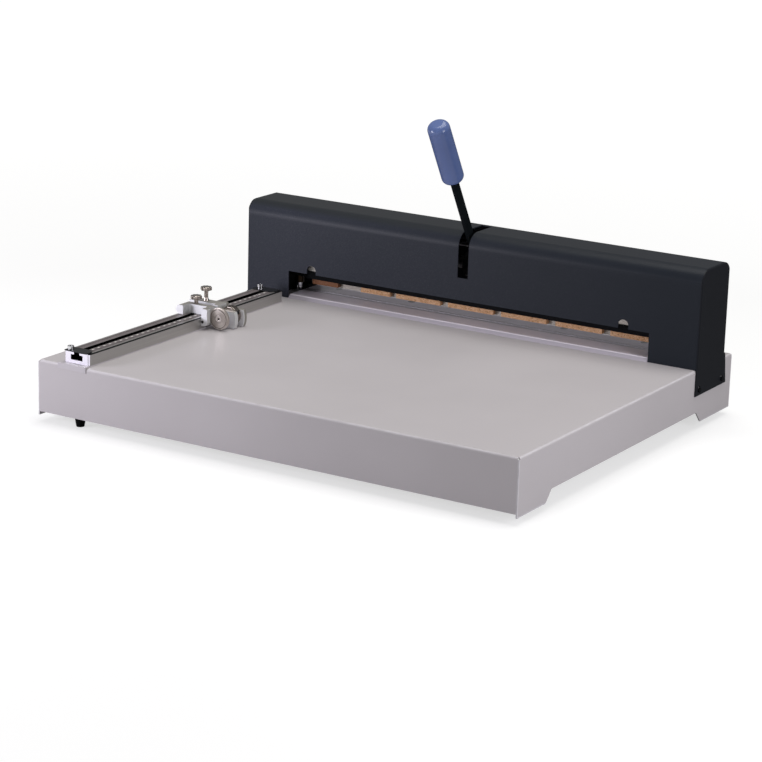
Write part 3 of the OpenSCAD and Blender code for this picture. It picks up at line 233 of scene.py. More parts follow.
def cork_granules():
    """Pressed cork: granules of three tones, with dark binder between them."""
    tree, given, out = effect("cork_granules", [
        ("Colour", COLOUR, (0.45, 0.28, 0.13, 1)), ("Pale", COLOUR, (0.6, 0.42, 0.25, 1)),
        ("Dark", COLOUR, (0.15, 0.08, 0.04, 1)), ("Granule scale", NUMBER, 420.0),
        ("Depth", NUMBER, 0.6)],
        [("Colour", COLOUR), ("Roughness", NUMBER), ("Normal", VECTOR)])
    place, scale = object_place(tree), given["Granule scale"]
    wobble = noise(tree, place, scale, output="Color")
    bent = vector_node(tree, "MULTIPLY", wobble, (0.0012, 0.0012, 0.0012))
    moved = vector_node(tree, "ADD", place, bent)
    cells = node(tree, "ShaderNodeTexVoronoi", [("Vector", moved), ("Scale", scale)])
    edge = node(tree, "ShaderNodeTexVoronoi", [("Vector", moved), ("Scale", scale)],
                feature="DISTANCE_TO_EDGE").outputs["Distance"]
    tone = node(tree, "ShaderNodeSeparateColor", [(0, cells.outputs["Color"])]).outputs[0]
    toned = blend_colour(tree, spread(tree, tone, 0.45, 0.8), given["Colour"], given["Pale"])
    toned = blend_colour(tree, spread(tree, tone, 0.16, 0.05), toned, given["Dark"])
    binder = spread(tree, edge, 0.1, 0.0, to_high=0.35)
    give(tree, out, Colour=blend_colour(tree, binder, toned, given["Dark"]),
         Roughness=spread(tree, tone, 0.0, 1.0, 0.7, 0.95),
         Normal=bumped(tree, edge, given["Depth"], distance=0.0003))
    return tree


def rubbed_edges():
    """A mask along a box's edges, broken up by noise, where a highlight is painted."""
    tree, given, out = effect("rubbed_edges", [
        ("Centre", VECTOR, (0, 0, 0)), ("Half size", VECTOR, (0.3, 0.25, 0.03)),
        ("Width", NUMBER, 0.002), ("Breaks", NUMBER, 60.0)], [("Mask", NUMBER)])
    place = object_place(tree)
    off = vector_node(tree, "ABSOLUTE", vector_node(tree, "SUBTRACT", place, given["Centre"]))
    gap = vector_node(tree, "ABSOLUTE", vector_node(tree, "SUBTRACT", given["Half size"], off))
    x, y, z = node(tree, "ShaderNodeSeparateXYZ", [(0, gap)]).outputs
    # The middle one of the three gaps is small only where two faces meet
    near, far = math_node(tree, "MINIMUM", x, y), math_node(tree, "MAXIMUM", x, y)
    middle = math_node(tree, "MAXIMUM", near, math_node(tree, "MINIMUM", far, z))
    line = spread(tree, math_node(tree, "DIVIDE", middle, given["Width"]), 1.0, 0.2)
    breaks = noise(tree, place, given["Breaks"], detail=3.0, rough=0.6)
    give(tree, out, Mask=math_node(tree, "MULTIPLY", line, spread(tree, breaks, 0.2, 0.6)))
    return tree


def far_places():
    """A mask of the places farther than a level from a centre, measured along an axis."""
    tree, given, out = effect("far_places", [
        ("Centre", VECTOR, (0, 0, 0)), ("Axis", VECTOR, ALONG_X), ("Level", NUMBER, 0.1),
        ("Blur", NUMBER, 0.0005)], [("Mask", NUMBER)])
    off = vector_node(tree, "SUBTRACT", object_place(tree), given["Centre"])
    away = math_node(tree, "ABSOLUTE", vector_node(tree, "DOT_PRODUCT", off, given["Axis"]))
    past = math_node(tree, "SUBTRACT", away, given["Level"])
    give(tree, out, Mask=math_node(tree, "DIVIDE", past, given["Blur"], clamp=True))
    return tree


def facing_side():
    """A mask of the faces that look along an axis, such as the tops of a block, for painted light and
    shade.
    """
    tree, given, out = effect("facing_side", [
        ("Axis", VECTOR, ALONG_Z), ("Start", NUMBER, 0.6), ("Full", NUMBER, 0.85)],
        [("Mask", NUMBER)])
    looks = node(tree, "ShaderNodeTexCoord").outputs["Normal"]
    along = vector_node(tree, "DOT_PRODUCT", looks, given["Axis"])
    give(tree, out, Mask=spread(tree, along, given["Start"], given["Full"]))
    return tree


COAT, LINES, RINGS, CORK = sprayed_coat(), drawn_lines(), turned_rings(), cork_granules()
EDGE_HIGHLIGHT, FAR, FACING = rubbed_edges(), far_places(), facing_side()


# ---- Finishes ----

def rgb(code):
    """A linear colour from a hex code as it shows on screen."""
    parts = [int(code[i:i + 2], 16) / 255 for i in (0, 2, 4)]
    return tuple(c / 12.92 if c <= 0.04045 else ((c + 0.055) / 1.055) ** 2.4
                 for c in parts) + (1.0,)


def finish_named(name, **sockets):
    """A material with a Principled shader; sockets set its constant inputs."""
    material = bpy.data.materials.new(name)
    material.use_nodes = True
    shader = material.node_tree.nodes["Principled BSDF"]
    for label, value in sockets.items():
        shader.inputs[label.replace("_", " ")].default_value = value
    return material, material.node_tree, shader


def use(tree, group, **values):
    """Places a shared effect in a tree, with its inputs set by name."""
    placed = tree.nodes.new("ShaderNodeGroup")
    placed.node_tree = group
    for label, value in values.items():
        placed.inputs[label.replace("_", " ")].default_value = value
    return placed


# Masks: each function returns another one, which adds the mask to a material's tree

def beyond(centre, axis, level, blur):
    """The places farther than a level from a centre, measured along an axis."""
    return lambda tree: use(tree, FAR, Centre=centre, Axis=axis, Level=level,
                            Blur=blur).outputs["Mask"]


def within(centre, blur, *spans):
    """The places nearer to a centre than a half width, along each axis that is given."""
    def mask(tree):
        outside = 0.0
        for axis, half in spans:
            outside = math_node(tree, "MAXIMUM", outside, beyond(centre, axis, half, blur)(tree))
        return math_node(tree, "SUBTRACT", 1.0, outside)
    return mask


def facing(axis, share=1.0):
    """The faces that look along an axis."""
    return lambda tree: math_node(tree, "MULTIPLY", use(tree, FACING, Axis=axis).outputs["Mask"],
                                  share)


def highlighted_edges(centre, half, width):
    """The edges of a box-shaped piece, where a highlight is painted."""
    return lambda tree: use(tree, EDGE_HIGHLIGHT, Centre=centre, Half_size=half,
                            Width=width).outputs["Mask"]


def bored(centre, radius):
    """The inside of a round hole along Y."""
    return lambda tree: spread(tree, use(tree, RINGS, Centre=centre).outputs["Reach"],
                               radius + 0.0002, radius - 0.0001)


def finished(tree, shader, placed, tone, changes=()):
    """Joins an effect and a tone to the shader, after laying other colours over the tone.

    A change is a mask and a hex code, and each lies over the ones before it.
    """
    for mask, code in changes:
        tone = blend_colour(tree, mask(tree), tone, rgb(code))
    give(tree, shader, Base_Color=tone, Roughness=placed.outputs["Roughness"],
         Normal=placed.outputs["Normal"])


def painted(name, colour, patches, roughness, shine, changes=(), coat=0.0, **values):
    """Paint, plastic, rubber or ink; values are the other inputs of the coat effect."""
    material, tree, shader = finish_named(
        name, Coat_Weight=coat, Coat_Roughness=0.12, Specular_IOR_Level=shine)
    placed = use(tree, COAT, Colour=rgb(colour), Patches=rgb(patches), Roughness=roughness,
                 **values)
    finished(tree, shader, placed, placed.outputs["Colour"], changes)
    return material


def metal(name, colour, streaks, roughness, stretch, unevenness, depth, metallic=1.0, changes=()):
    """Metal with streaks; stretch is the pattern's scale on each axis, least along the streaks."""
    material, tree, shader = finish_named(name, Metallic=metallic)
    placed = use(tree, LINES, Colour=rgb(colour), Streaks=rgb(streaks), Roughness=roughness,
                 Stretch=stretch, Unevenness=unevenness, Depth=depth)
    finished(tree, shader, placed, placed.outputs["Colour"], changes)
    return material


def turned(name, colour, darker, centre, grooves, roughness, depth):
    """Turned metal with a painted sheen round an axis along Y, and painted shade in round grooves.

    A groove is a radius, and the distances from it where the shade ends and where it is full.
    """
    material, tree, shader = finish_named(name, Metallic=0.6)
    placed = use(tree, RINGS, Centre=centre, Roughness=roughness, Depth=depth,
                 Ring_scale=3200.0, Unevenness=0.2)
    tone = blend_colour(tree, placed.outputs["Sweep"], rgb(darker), rgb(colour))
    ringed = spread(tree, placed.outputs["Ring"], 0.3, 0.7, to_high=0.3)
    tone = blend_colour(tree, ringed, tone, rgb(darker))
    groove_shade = 0.0
    for radius, ends, full in grooves:
        away = math_node(tree, "SUBTRACT", placed.outputs["Reach"], radius)
        away = math_node(tree, "ABSOLUTE", away)
        groove_shade = math_node(tree, "MAXIMUM", groove_shade, spread(tree, away, ends, full))
    groove_shade = math_node(tree, "MULTIPLY", groove_shade, 0.55)
    finished(tree, shader, placed, blend_colour(tree, groove_shade, tone, rgb("2A2623")))
    return material


def box_of(name):
    """Centre and half size of a CAD node."""
    low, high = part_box(name)
    return (low + high) / 2, (high - low) / 2


# The colour of painted shade in holes and slots
HOLLOW_SHADE_TONE = "0C0C0D"


def hollow_shade(x, z, half_width, half_height):
    """Painted shade in a hollow that runs along Y, as a change of colour."""
    centre = Vector((x, 0, z))
    return within(centre, 0.0001, (ALONG_X, half_width), (ALONG_Z, half_height)), HOLLOW_SHADE_TONE


TABLE_CENTRE, TABLE_HALF = box_of("base_shell")
COVER_CENTRE, COVER_HALF = box_of("cover")
RAIL_CENTRE, RAIL_HALF = box_of("gauge_rail")
RAIL_TOP = RAIL_CENTRE.z + RAIL_HALF.z
FENCE_LOW, FENCE_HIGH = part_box("rail_fence")
STOP_LOW, STOP_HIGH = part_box("stop_saddle")
BED_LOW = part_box("creasing_bed")[0]
PADS_LOW, PADS_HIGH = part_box("cork_pads")
SPINDLE = box_of("fine_spindle")[0]

# Paints, plastics and inks

# The table's edges carry a painted highlight
table_coat = painted(
    "table_coat", "C3BEC0", "BDB8BA", 0.45,
    changes=[(highlighted_edges(TABLE_CENTRE, TABLE_HALF, 0.002), "D6D4D8")],
    shine=0.3, Patch_size=5.0, Pebble_scale=1100.0, Pebble_depth=0.12, Flecks=0.03)
seat_coat = painted(
    "seat_coat", "C6C1C5", "BDB8BC", 0.42,
    shine=0.3, Patch_size=9.0, Pebble_scale=1100.0, Pebble_depth=0.12, Flecks=0.03)

# The cover has a painted highlight along its edges, painted shade on its top and growing towards its
# right end, and the darkest painted shade on its end plates
cover_left = COVER_CENTRE - Vector((COVER_HALF.x, 0, 0))
edge_width, end_depth = 0.0016, 0.0016
cover_coat = painted(
    "cover_coat", "31343E", "2D3039", 0.4,
    changes=[(highlighted_edges(COVER_CENTRE, COVER_HALF, edge_width), "3A3D49"),
             (facing(ALONG_Z), "2A2D31"),
             (beyond(cover_left, ALONG_X, level=0.06, blur=0.5), "20242B"),
             (beyond(COVER_CENTRE, ALONG_X, COVER_HALF.x - end_depth, blur=0.0009), "1A1C21")],
    shine=0.13, Patch_size=4.0, Unevenness=0.08, Pebble_scale=800.0, Pebble_depth=0.3, Flecks=0.04)
black_coat = painted(
    "black_coat", "101113", "141517", 0.4,
    shine=0.03, Patch_size=30.0, Pebble_scale=900.0, Pebble_depth=0.12, Flecks=0.01)
lever_coat = painted(
    "lever_coat", "0D1114", "111518", 0.3,
    shine=0.02, Patch_size=40.0, Pebble_scale=700.0, Pebble_depth=0.08, Flecks=0.01)
frame_coat = painted(
    "frame_coat", "17181A", "131416", 0.5,
    shine=0.06, Patch_size=20.0, Pebble_scale=900.0, Pebble_depth=0.2, Flecks=0.02)
grip_plastic = painted(
    "grip_plastic", "5E71A4", "596B9C", 0.22, coat=0.35,
    shine=0.35, Patch_size=18.0, Unevenness=0.06, Pebble_scale=500.0, Pebble_depth=0.02, Flecks=0.0)
foot_rubber = painted(
    "foot_rubber", "0A0A0B", "0E0E0F", 0.7,
    shine=0.03, Patch_size=90.0, Pebble_scale=1500.0, Pebble_depth=0.4, Flecks=0.01)

# A black line runs along the outer edge of each scale band
line_width = 0.0014
scale_band = painted(
    "scale_band", "776F70", "6B6465", 0.5,
    changes=[(beyond(RAIL_CENTRE, ALONG_X, RAIL_HALF.x - line_width, blur=0.0004), "0C0D0E")],
    shine=0.2, Patch_size=60.0, Pebble_scale=1200.0, Pebble_depth=0.05, Flecks=0.03)
scale_ink = painted(
    "scale_ink", "3A3735", "322F2E", 0.5,
    shine=0.15, Patch_size=200.0, Pebble_scale=1500.0, Pebble_depth=0.05, Flecks=0.0)
pale_ink = painted(
    "pale_ink", "D2CEC9", "C6C2BD", 0.5,
    shine=0.2, Patch_size=200.0, Pebble_scale=1500.0, Pebble_depth=0.05, Flecks=0.0)
plate_black = painted(
    "plate_black", "17191B", "121315", 0.32,
    shine=0.25, Patch_size=60.0, Pebble_scale=1200.0, Pebble_depth=0.05, Flecks=0.02)

# Metals

ALUMINIUM = dict(colour="BAB8B5", streaks="ADABA8", roughness=0.4, stretch=(900, 5, 900),
                 unevenness=0.1, depth=0.1, metallic=0.85)
# The rail's sawn end faces are paler, partly their own cut finish and partly painted light
end_skin = 0.0002
SAWN_ENDS_AND_LIGHT = beyond(RAIL_CENTRE, ALONG_Y, RAIL_HALF.y - end_skin, blur=0.0002), "DCD9E2"
# Painted shade in the T slot's wide lower part and its neck: how deep its middle lies, half width,
# half height
T_SLOT_SHADE = [hollow_shade(RAIL_CENTRE.x, RAIL_TOP - depth, half_width, half_height)
          for depth, half_width, half_height in ((0.0062, 0.0081, 0.00305), (0.0016, 0.0039, 0.0017))]
rail_metal = metal("rail_metal", **ALUMINIUM, changes=[*T_SLOT_SHADE, SAWN_ENDS_AND_LIGHT])
fence_seam = within(Vector((FENCE_LOW.x, 0, 0)), 0.0001, (ALONG_X, 0.0006))
fence_metal = metal("fence_metal", **ALUMINIUM, changes=[SAWN_ENDS_AND_LIGHT, (fence_seam, "2A292B")])

# Painted shade on the saddles' tops and right sides
SHADED_TOPS = facing(ALONG_Z, 0.9), "8E8982"
SHADED_RIGHT_SIDES = facing(ALONG_X, 0.8), "BFBFBD"
# Painted shade in the hole in the front saddle's leg, beside the fence and above the bed's underside
leg_hole_shade = bored(Vector((FENCE_HIGH.x + 0.002, 0, BED_LOW.z + 0.0095)), radius=0.0017)
saddle_metal = metal(
    "saddle_metal", "F2F2F5", "E9E9ED", 0.46, (40, 900, 900), 0.08, 0.05, metallic=0.35,
    changes=[SHADED_TOPS, SHADED_RIGHT_SIDES, (leg_hole_shade, HOLLOW_SHADE_TONE)])
# Painted shade on the fork's back plate, behind the drum
plate_thickness = 0.0045
back_plate_shade = beyond(STOP_LOW, ALONG_Y, STOP_HIGH.y - STOP_LOW.y - plate_thickness, blur=0.0005)
fork_metal = metal(
    "fork_metal", "F6F6F9", "EFEFF3", 0.46, (40, 900, 900), 0.08, 0.05, metallic=0.2,
    changes=[SHADED_TOPS, SHADED_RIGHT_SIDES, (back_plate_shade, "8B8881")])

# Painted light on the bed's top faces, and a painted highlight along the bed where its slope meets
# its flat top
slope_depth, line_half = 0.0041, 0.0007
bed_edge_highlight = within(Vector((0, BED_LOW.y + slope_depth, 0)), 0.0004, (ALONG_Y, line_half))
bed_metal = metal(
    "bed_metal", "A9A3AD", "A29CA6", 0.42, (8, 900, 900), 0.12, 0.06, metallic=0.2,
    changes=[(facing(ALONG_Z), "E9E1EC"), (bed_edge_highlight, "EAE4EC")])
matrix_metal = metal(
    "matrix_metal", "C4BFC8", "B9B4BD", 0.34, (8, 500, 500), 0.1, 0.05, metallic=0.6)
bright_metal = metal("bright_metal", "BDB9B3", "ABA7A1", 0.3, (9, 1000, 1000), 0.2, 0.12)
blade_metal = metal(
    "blade_metal", "A8A298", "9B958C", 0.36, (9, 1000, 1000), 0.15, 0.1, metallic=0.5)
nickel = metal("nickel", "B0A7A1", "A0978F", 0.16, (300, 300, 300), 0.14, 0.05)
chrome = metal("chrome", "E2E2E4", "D6D6D9", 0.1, (200, 200, 20), 0.06, 0.02)
zinc = metal("zinc", "9A9B9E", "85868A", 0.38, (60, 60, 60), 0.22, 0.08)
bronze = metal("bronze", "33291F", "2A221B", 0.38, (500, 500, 60), 0.18, 0.1)
iron = metal("iron", "5B5B5E", "48484B", 0.42, (300, 20, 300), 0.2, 0.15)
spring_metal = metal("spring_metal", "8E8F92", "77787B", 0.28, (400, 400, 400), 0.15, 0.05)

# The dial's rim stands back from its face, which has a groove near its edge and a recess
DIAL_LOW, DIAL_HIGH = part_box("dial")
DIAL_RADIUS = (DIAL_HIGH.x - DIAL_LOW.x) / 2
DIAL_STEP = 0.0006
DIAL_GROOVE = DIAL_RADIUS - DIAL_STEP - 0.0016
DIAL_RECESS = 0.0044
# The dial has a painted sheen, and painted shade in its groove and its recess
turned_nickel = turned(
    "turned_nickel", "D3CBC5", "B0A7A0", SPINDLE,
    grooves=[(DIAL_GROOVE, 0.0006, 0.0003), (DIAL_RECESS, 0.0005, 0.0002)],
    roughness=0.3, depth=0.08)
# Painted shade in the hole of the dial's key screw, round the spindle
key_metal = metal(
    "key_metal", "EDE5DF", "DDD4CE", 0.22, (300, 300, 300), 0.1, 0.03, metallic=0.6,
    changes=[hollow_shade(SPINDLE.x, SPINDLE.z, 0.0012, 0.0012)])

# The first cork pad, at the left, gets painted shade; the others take up this share of the row
OTHER_PADS = 0.885
cork, cork_tree, cork_shader = finish_named("cork")
granules = use(cork_tree, CORK, Colour=rgb("D4A478"), Pale=rgb("E2BA95"), Dark=rgb("AF825A"),
               Granule_scale=800.0, Depth=0.25)
first_pad_shade = beyond(PADS_HIGH, ALONG_X, (PADS_HIGH.x - PADS_LOW.x) * OTHER_PADS, blur=0.002)
finished(cork_tree, cork_shader, granules, granules.outputs["Colour"], [(first_pad_shade, "83583C")])


# ---- Making pieces ----

def in_scene(name, data):
    """A new object in the scene."""
    made = bpy.data.objects.new(name, data)
    scene.collection.objects.link(made)
    return made


def add(name, mesh, body, material, slot, *stands_for):
    """Makes a finished mesh a piece that rides on a body and stands for CAD nodes."""
    piece = in_scene(name, mesh)
    piece.data.materials.clear()
    piece.data.materials.append(material)
    if stands_for:
        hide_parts(*stands_for)
    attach(piece, body)


def settled(piece):
    """The mesh of an object with its modifiers applied; the object itself is removed."""
    bpy.context.view_layer.update()
    graph = bpy.context.evaluated_depsgraph_get()
    result = bpy.data.meshes.new_from_object(
        piece.evaluated_get(graph), preserve_all_data_layers=True, depsgraph=graph)
    bpy.data.objects.remove(piece)
    return result


def mesh_from(work, name):
    """A bmesh as a new mesh; the bmesh is freed."""
    mesh = bpy.data.meshes.new(name)
    work.to_mesh(mesh)
    work.free()
    return mesh


def smooth(mesh):
    """Smooth shading on all faces."""
    mesh.polygons.foreach_set("use_smooth", [True] * len(mesh.polygons))


def shaded(mesh, sharp=50):
    """Smooth shading that keeps flats flat and breaks at sharp edges."""
    smooth(mesh)
    mesh.set_sharp_from_angle(angle=math.radians(sharp))
    holder = in_scene("holder", mesh)
    weigh = holder.modifiers.new("weigh", "WEIGHTED_NORMAL")
    weigh.mode, weigh.weight, weigh.keep_sharp = "FACE_AREA", 100, True
    return settled(holder)


def welded(cad):
    """A CAD node as a mesh with shared corners and whole flat faces."""
    work = bmesh.new()
    work.from_mesh(nodes[cad].data)
    bmesh.ops.remove_doubles(work, verts=work.verts, dist=2e-6)
    bmesh.ops.dissolve_limit(work, angle_limit=math.radians(0.5), verts=work.verts,
                             edges=work.edges, delimit=set())
    return mesh_from(work, cad + "_form")


def round_left_end(mesh, radius):
    """Rounds a mesh's left end at its edges along Y, the upper and the lower one."""
    work = bmesh.new()
    work.from_mesh(mesh)
    end = min(v.co.x for v in work.verts)
    corners = [e for e in work.edges if all(abs(v.co.x - end) < 1e-5 for v in e.verts)
               and abs((e.verts[0].co - e.verts[1].co).normalized().y) > 0.999]
    bmesh.ops.bevel(work, geom=corners, offset=radius, segments=6, profile=0.5, affect="EDGES")
    work.to_mesh(mesh)
    work.free()


def softened(name, material, cad, edge, steps=2, left_round=0.0):
    """A CAD node with its edges rounded, as a piece of its own."""
    mesh = welded(cad)
    if left_round:
        round_left_end(mesh, left_round)
    smooth(mesh)
    holder = in_scene("holder", mesh)
    round_off = holder.modifiers.new("round_off", "BEVEL")
    round_off.width, round_off.segments, round_off.limit_method = edge, steps, "ANGLE"
    round_off.angle_limit, round_off.use_clamp_overlap = math.radians(32), True
    round_off.miter_outer = "MITER_ARC"
    add(name, shaded(settled(holder)), nodes[cad]["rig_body"], material, slots[cad], cad)


def lathe(name, section, centre, axis="Z", turns=72, flutes=0, depth=0.0, fluted_from=1.0):
    """A mesh turned from (radius, along) points, round an axis along Z or Y through centre.

    A radius of 0 closes it. From the radius fluted_from on, flutes of a depth are cut in.
    """
    work = bmesh.new()
    rings = []
    for r, h in section:
        ring = []
        for i in range(turns if r > 1e-9 else 1):
            a = 2 * math.pi * i / turns
            cut = depth * (0.5 + 0.5 * math.cos(flutes * a)) if r > fluted_from else 0.0
            ring.append(work.verts.new(((r - cut) * math.cos(a), (r - cut) * math.sin(a), h)))
        rings.append(ring)
    for low, high in zip(rings, rings[1:]):
        for i in range(turns):
            j = (i + 1) % turns
            corners = [low[i % len(low)], low[j % len(low)],
                       high[j % len(high)], high[i % len(high)]]
            work.faces.new(list(dict.fromkeys(corners)))
    turn = Matrix.Rotation(math.radians(90 if axis == "Y" else 0), 4, "X")
    bmesh.ops.transform(work, matrix=Matrix.Translation(centre) @ turn, verts=work.verts)
    bmesh.ops.recalc_face_normals(work, faces=work.faces)
    return mesh_from(work, name)


def rounded_section(points, edge, steps=3):
    """A lathe section with its inner corners rounded."""
    out = [points[0]]
    for before, here, after in zip(points, points[1:], points[2:]):
        a, b, c = Vector(before), Vector(here), Vector(after)
        reach = min(edge, (a - b).length / 2.01, (c - b).length / 2.01)
        p, q = b + (a - b).normalized() * reach, b + (c - b).normalized() * reach
        for i in range(steps + 1):
            t = i / steps
            out.append(tuple(p * (1 - t) ** 2 + b * 2 * t * (1 - t) + q * t ** 2))
    out.append(points[-1])
    return out


def joined(name, meshes):
    """Several meshes as one."""
    work = bmesh.new()
    for mesh in meshes:
        work.from_mesh(mesh)
    return mesh_from(work, name)


# ---- Repeats, made with geometry nodes ----

def repeat_tree(name, inputs):
    return new_group(name, "GeometryNodeTree", inputs + [("Material", MATERIAL, None)],
                     [("Geometry", "NodeSocketGeometry")])


def close_tree(tree, given, out, instances):
    """Ends a repeat tree: its instances are made real and given their material."""
    real = node(tree, "GeometryNodeRealizeInstances", [(0, instances)])
    dressed = node(tree, "GeometryNodeSetMaterial", [
        (0, real.outputs[0]), ("Material", given["Material"])])
    give(tree, out, Geometry=dressed.outputs[0])
    return tree


def grown(tree, **values):
    """Runs a repeat tree with its inputs set by name, and returns the mesh that it makes."""
    holder = in_scene("holder", bpy.data.meshes.new("holder"))
    run = holder.modifiers.new("run", "NODES")
    run.node_group = tree
    for item in tree.interface.items_tree:
        label = item.name.replace(" ", "_")
        if item.item_type == "SOCKET" and item.in_out == "INPUT" and label in values:
            run[item.identifier] = values[label]
    return settled(holder)


def cube(tree, size):
    return node(tree, "GeometryNodeMeshCube", [("Size", size)]).outputs[0]


def row_of_points(tree, given):
    """Points along Y, from the tree's Start, Pitch and Count."""
    step = combined(tree, y=given["Pitch"])
    return node(tree, "GeometryNodeMeshLine", [
        ("Count", given["Count"]), ("Start Location", given["Start"]), ("Offset", step)]).outputs[0]


def ridge_ring():
    """Ridges round an axis along Z, such as a knurl's."""
    tree, given, out = repeat_tree("ridge_ring", [
        ("Count", COUNT, 40), ("Radius", NUMBER, 0.01), ("Length", NUMBER, 0.01),
        ("Width", NUMBER, 0.001), ("Height", NUMBER, 0.0005), ("Place", VECTOR, (0, 0, 0)),
        ("Turn", VECTOR, (0, 0, 0))])
    ring = node(tree, "GeometryNodeMeshCircle", [
        ("Vertices", given["Count"]), ("Radius", given["Radius"])])
    ridge = cube(tree, combined(tree, given["Height"], given["Width"], given["Length"]))
    place = node(tree, "GeometryNodeInputPosition").outputs[0]
    outward = node(tree, "FunctionNodeAlignRotationToVector", [("Vector", place)], axis="X")
    placed = node(tree, "GeometryNodeInstanceOnPoints", [
        ("Points", ring.outputs[0]), ("Instance", ridge), ("Rotation", outward.outputs[0])])
    moved = node(tree, "GeometryNodeTransform", [
        (0, placed.outputs[0]), ("Translation", given["Place"]), ("Rotation", given["Turn"])])
    return close_tree(tree, given, out, moved.outputs[0])


def mark_row():
    """A row of scale marks along Y, where every fifth is longer and every tenth the longest."""
    tree, given, out = repeat_tree("mark_row", [
        ("Count", COUNT, 350), ("Pitch", NUMBER, 0.001), ("Start", VECTOR, (0, 0, 0)),
        ("Long", NUMBER, 0.005), ("Line", NUMBER, 0.00025), ("Thickness", NUMBER, 0.00006),
        ("Side", NUMBER, 1.0)])
    row = row_of_points(tree, given)
    mark = cube(tree, combined(tree, given["Long"], given["Line"], given["Thickness"]))
    index = node(tree, "GeometryNodeInputIndex").outputs[0]
    share = 0.45
    for every, more in ((5.0, 0.22), (10.0, 0.33)):
        hit = math_node(tree, "COMPARE", math_node(tree, "MODULO", index, every), 0.0)
        share = math_node(tree, "ADD", share, math_node(tree, "MULTIPLY", hit, more))
    placed = node(tree, "GeometryNodeInstanceOnPoints", [
        ("Points", row), ("Instance", mark), ("Scale", combined(tree, share, 1.0, 1.0))])
    # A short mark moves by half of what it lacks, so that all marks start at one line
    lack = math_node(tree, "MULTIPLY", math_node(tree, "SUBTRACT", 1.0, share), given["Long"])
    shift = math_node(tree, "MULTIPLY", math_node(tree, "MULTIPLY", lack, 0.5), given["Side"])
    moved = node(tree, "GeometryNodeTranslateInstances", [
        (0, placed.outputs[0]), ("Translation", combined(tree, shift))])
    return close_tree(tree, given, out, moved.outputs[0])


def dash_row():
    """Equal marks in a row along Y."""
    tree, given, out = repeat_tree("dash_row", [
        ("Count", COUNT, 20), ("Pitch", NUMBER, 0.01), ("Start", VECTOR, (0, 0, 0)),
        ("Size", VECTOR, (0.002, 0.004, 0.0001))])
    placed = node(tree, "GeometryNodeInstanceOnPoints", [
        ("Points", row_of_points(tree, given)), ("Instance", cube(tree, given["Size"]))])
    return close_tree(tree, given, out, placed.outputs[0])


RIDGES, MARKS, DASHES = ridge_ring(), mark_row(), dash_row()


# ---- Base ----

softened("sheet_table", table_coat, "base_shell", edge=0.0004)
softened("rail_seat_plate", seat_coat, "rail_seat", edge=0.0003)
softened("bed_plate", bed_metal, "creasing_bed", edge=0.0004)
softened("matrix_strip", matrix_metal, "crease_matrix", edge=0.00015)
softened("bed_blocks", black_coat, "bed_end_blocks", edge=0.0005)
softened("foot_pads", foot_rubber, "rubber_feet", edge=0.0006)

# ---- Rail ----

softened("guide_rail", rail_metal, "gauge_rail", edge=0.00025)
softened("fence_bar", fence_metal, "rail_fence", edge=0.0003)
softened("scale_bands", scale_band, "scale_strips", edge=0.0001)
softened("end_caps", plate_black, "rail_caps", edge=0.0003)

cap_length, mark_height = 0.0152, 0.00008
first_mark = RAIL_CENTRE.y - RAIL_HALF.y + cap_length
slot_edge = RAIL_CENTRE.x + 0.00435
ticks = [grown(MARKS, Count=342, Pitch=0.001, Start=(edge, first_mark, RAIL_TOP), Long=0.0046,
               Line=0.00026, Thickness=mark_height, Side=side, Material=scale_ink)
         for edge, side in ((RAIL_CENTRE.x - 0.0110, 1.0), (RAIL_CENTRE.x + 0.0106, -1.0))]
add("scale_marks", joined("scale_marks", ticks), "base", scale_ink, slots["scale_strips"])
dashes = grown(DASHES, Count=34, Pitch=0.01, Size=(0.0022, 0.0036, mark_height),
               Start=(slot_edge + 0.0022, first_mark + 0.005, RAIL_TOP), Material=pale_ink)
add("scale_dashes", dashes, "base", pale_ink, slots["scale_strips"])
softened("rail_end_screws", chrome, "rail_screws", edge=0.0001)

# ---- Cover ----

softened("press_cover", cover_coat, "cover", edge=0.0003)
softened("side_screws", black_coat, "cover_screws", edge=0.0003)

# ---- Press frame ----

softened("left_frame_plate", frame_coat, "left_end_frame", edge=0.0005)
softened("right_frame_plate", frame_coat, "right_end_frame", edge=0.0005)
softened("posts", chrome, "guide_posts", edge=0.0003)
softened("tie_bar", zinc, "tie_rod", edge=0.0004)
softened("shaft_bush_pair", bronze, "shaft_bushes", edge=0.0003)

# ---- Beam ----

softened("beam_bar", bright_metal, "press_beam", edge=0.0003)
softened("black_front_bar", black_coat, "front_bar", edge=0.0003)
softened("round_bolts", chrome, "beam_bolts", edge=0.0002)
softened("slide_blocks", black_coat, "guide_blocks", edge=0.0006)
softened("slide_bushes", bronze, "guide_bushes", edge=0.0003)
softened("steel_blade", blade_metal, "crease_blade", edge=0.0002)
softened("blade_bar", black_coat, "blade_clamp", edge=0.0004)
softened("cork_strip_pads", cork, "cork_pads", edge=0.0005, steps=3)
softened("cam_wear_pads", iron, "cam_pads", edge=0.0003)
softened("lifting_straps", zinc, "spring_straps", edge=0.0004)

# ---- Lever ----

softened("shaft_bar", iron, "cross_shaft", edge=0.0005)
softened("cam_pair", iron, "press_cams", edge=0.0004)
softened("collar_pair", black_coat, "shaft_collars", edge=0.0004)
softened("hub_block", black_coat, "lever_hub", edge=0.0006)
softened("flat_lever", lever_coat, "lever_bar", edge=0.0007, steps=3)

LEVER_LEAN = 30.5                     # degrees back from upright, at rest
GRIP_LOW, GRIP_HIGH = 0.127, 0.209    # where the grip starts and ends, from the pivot
GRIP_RADIUS = box_of("lever_grip")[1].x


